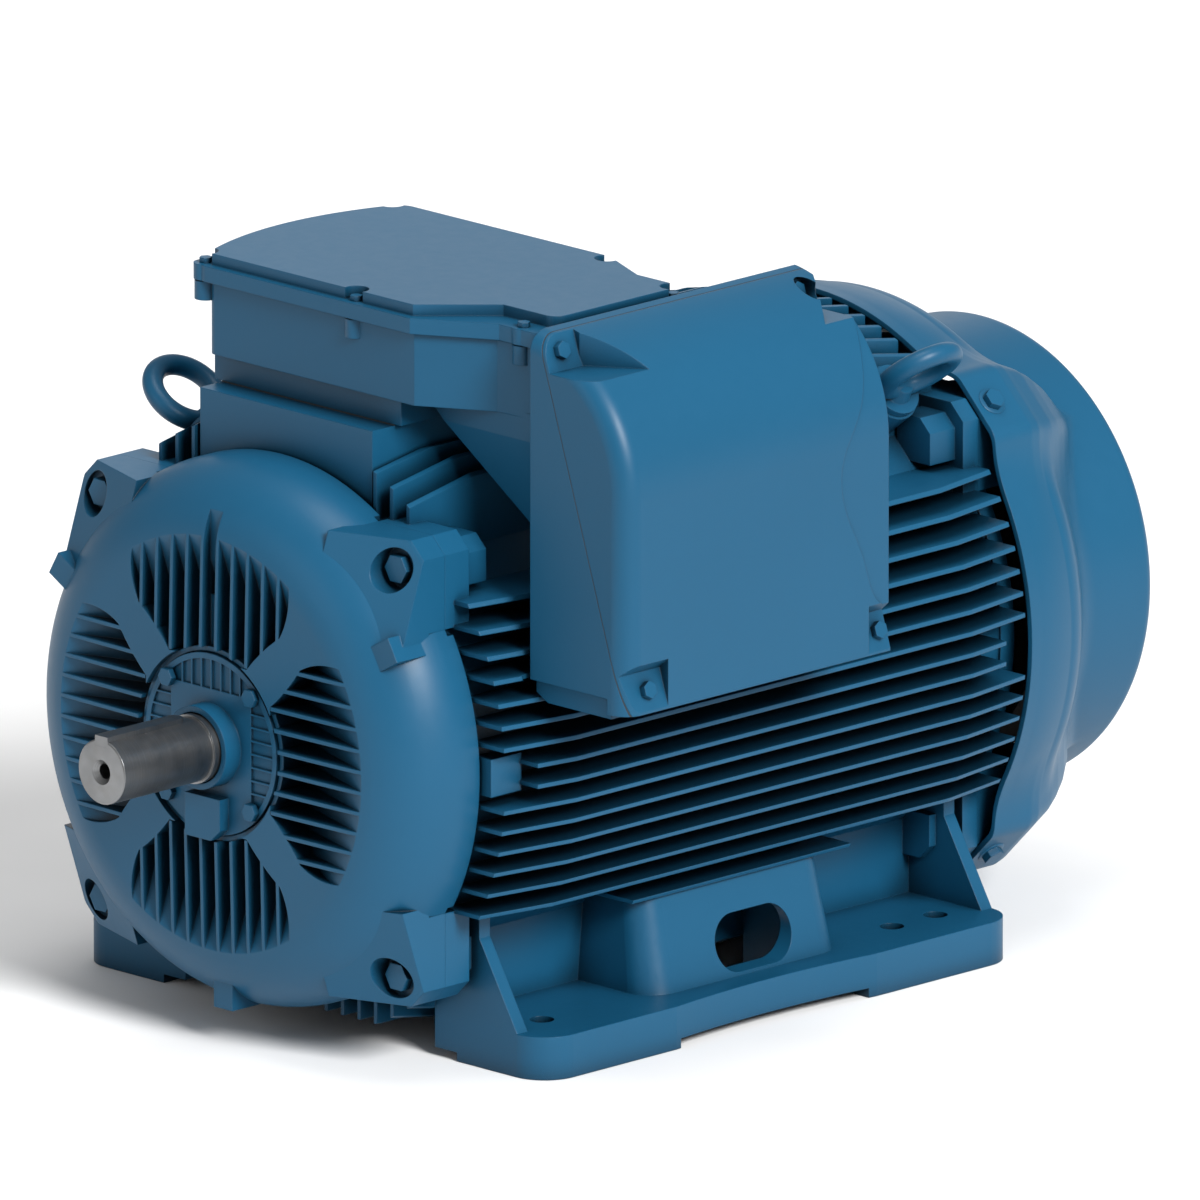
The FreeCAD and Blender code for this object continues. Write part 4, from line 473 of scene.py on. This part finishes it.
def cover_shell():
    """Outer skin, inner skin and the two rims between them."""
    quarter = 160
    count = quarter * 4
    outer = stations(COVER_TOP, 5)
    inner = [(min(r, outer[index][0]), min(y, COVER_INSIDE))
             for index, (r, y) in enumerate(shifted(outer, COVER_WALL))]
    rows = [(r, y, 0) for r, y in outer] + [(r, y, COVER_WALL) for r, y in reversed(inner)]
    points = []
    for radius, y, inset in rows + rows[:1]:
        for step in range(count):
            angle = math.pi * 2 * step / count
            turn = (angle % (math.pi / 2)) - math.pi / 4
            reach = cover_reach(radius, y, turn, inset) if radius > ROUND_BELOW else radius
            points.append((reach * math.cos(angle), y, AXIS_Z / MM + reach * math.sin(angle)))
    return points, ring_faces(len(rows) + 1, count)


def bar(low, high):
    """Straight bar between two corners, with its outer edges taken off."""
    (x0, y0, z0), (x1, y1, z1) = low, high
    section = [(x0, y0), (x1, y0), (x1, y1 - EDGE), (x1 - EDGE, y1), (x0 + EDGE, y1), (x0, y1 - EDGE)]
    points = [(x, y, z) for z in (z0, z1) for x, y in section]
    sides = [(i, (i + 1) % 6, (i + 1) % 6 + 6, i + 6) for i in range(6)]
    return points, sides + [tuple(range(5, -1, -1)), tuple(range(6, 12))]


def cover_grille():
    """Pressed centre disc, rings and radial bars at the air inlet."""
    back = COVER_BACK
    front = COVER_INSIDE
    parts = []
    for number in range(GRILLE_RINGS):
        low = GRILLE_FIRST + GRILLE_PITCH * number + GRILLE_SLOT
        high = GRILLE_FIRST + GRILLE_PITCH * (number + 1)
        parts.append(lathe([(low, front), (low, back - EDGE), (low + EDGE, back), (high - EDGE, back),
                            (high, back - EDGE), (high, front)]))
    parts.append(lathe([(0.01, front - 2), (0.01, 703.4), (30, 703.6), (44, 705.2), (50, back), (60, back),
                        (62, back - EDGE), (62, front), (50, front - 0.2), (44, front - 2)]))
    for number in range(GRILLE_BARS):
        angle = 2 * math.pi * (number + 0.5) / GRILLE_BARS
        points, faces = bar((-BAR_HALF, front + 0.3, 58), (BAR_HALF, back - 0.4, 234))
        turned = [(x * math.cos(angle) + z * math.sin(angle), y,
                   AXIS_Z / MM + z * math.cos(angle) - x * math.sin(angle)) for x, y, z in points]
        parts.append((turned, faces))
    return together(parts)


def cover_seats():
    """Low round seats under the cover's screws."""
    parts = []
    count = 48
    profile = [(SEAT_RADIUS, SEAT_LAND - 8), (SEAT_RADIUS, SEAT_LAND + 0.4),
               (SEAT_RADIUS - 0.8, SEAT_LAND + 1), (0.5, SEAT_LAND + 1)]
    for number in range(4):
        angle = math.radians(45 + 90 * number)
        out = (math.sin(angle), math.cos(angle))
        points = []
        for r, n in profile:
            for step in range(count):
                turn = 2 * math.pi * step / count
                across, along = r * math.cos(turn), r * math.sin(turn)
                points.append((out[0] * n + out[1] * across, SEAT_Y + along,
                               AXIS_Z / MM + out[1] * n - out[0] * across))
        parts.append((points, ring_faces(4, count)))
    return together(parts)


def fan_cover():
    points, faces = together([cover_shell(), cover_grille()])
    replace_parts(piece("fan_cover_shell", points, faces, "housing_paint"), "fan_cover")
    piece("fan_cover_seats", *cover_seats(), "housing_paint")


# ---------------------------------------------------------------- stage, light, camera

def stage():
    """Pale floor just under the feet, and an even white surrounding."""
    span = 40
    level = -0.0005
    corners = [(-span, -span, level), (span, -span, level), (span, span, level), (-span, span, level)]
    mesh = bpy.data.meshes.new("floor")
    mesh.from_pydata(corners, [], [(0, 1, 2, 3)])
    floor = bpy.data.objects.new("floor", mesh)
    SCENE.collection.objects.link(floor)
    n = Nodes("floor_paint")
    n.drive("Base Color", n.ramp(n.noise(3.0, 2.0), "Fac", [(0.3, 0.86), (0.7, 0.90)]))
    n.plain(Roughness=0.9)
    mesh.materials.append(n.material)

    world = bpy.data.worlds.new("studio")
    SCENE.world = world
    world.use_nodes = True
    back = world.node_tree.nodes["Background"]
    back.inputs["Color"].default_value = (1.0, 1.0, 1.0, 1)
    back.inputs["Strength"].default_value = 0.35


def area_light(name, place, aim, size, power):
    data = bpy.data.lights.new(name, "AREA")
    data.shape = "RECTANGLE"
    data.size, data.size_y = size
    data.energy = power
    lamp = bpy.data.objects.new(name, data)
    lamp.location = place
    lamp.rotation_euler = (Vector(aim) - Vector(place)).to_track_quat("-Z", "Y").to_euler()
    SCENE.collection.objects.link(lamp)


def sun_light(name, away, strength, spread):
    """Even light from one direction; away points to it, and spread is its width in degrees."""
    data = bpy.data.lights.new(name, "SUN")
    data.energy = strength
    data.angle = math.radians(spread)
    lamp = bpy.data.objects.new(name, data)
    lamp.rotation_euler = Vector(away).to_track_quat("Z", "Y").to_euler()
    SCENE.collection.objects.link(lamp)


def lights():
    aim = (0, 0, 0.4)
    sun_light("key", (5.0, -0.9, 3.4), 4.6, 22)
    area_light("top", (0.3, -0.3, 5.0), aim, (2.0, 2.0), 85)
    area_light("fill", (-1.0, -5.0, 2.2), aim, (2.5, 2.5), 25)
    area_light("back", (-4.2, 4.2, 2.1), aim, (4.0, 2.4), 24)


def camera():
    """Nearly parallel view from 45 degrees round and 15 degrees up."""
    azimuth, elevation = math.radians(45), math.radians(15)
    target = Vector((0.0414, 0.0414, 0.4209))
    away = Vector((math.sin(azimuth) * math.cos(elevation), -math.cos(azimuth) * math.cos(elevation),
                   math.sin(elevation)))
    data = bpy.data.cameras.new("camera")
    data.lens = 1600
    data.sensor_width = 36
    seen_width = 1.3575
    distance = seen_width * data.lens / data.sensor_width
    data.clip_start = 1
    data.clip_end = 200
    eye = bpy.data.objects.new("camera", data)
    eye.location = target + away * distance
    eye.rotation_euler = (-away).to_track_quat("-Z", "Y").to_euler()
    SCENE.collection.objects.link(eye)
    SCENE.camera = eye


finish_cad_nodes()
fan_cover()
stage()
lights()
camera()
SCENE.view_settings.view_transform = "Standard"
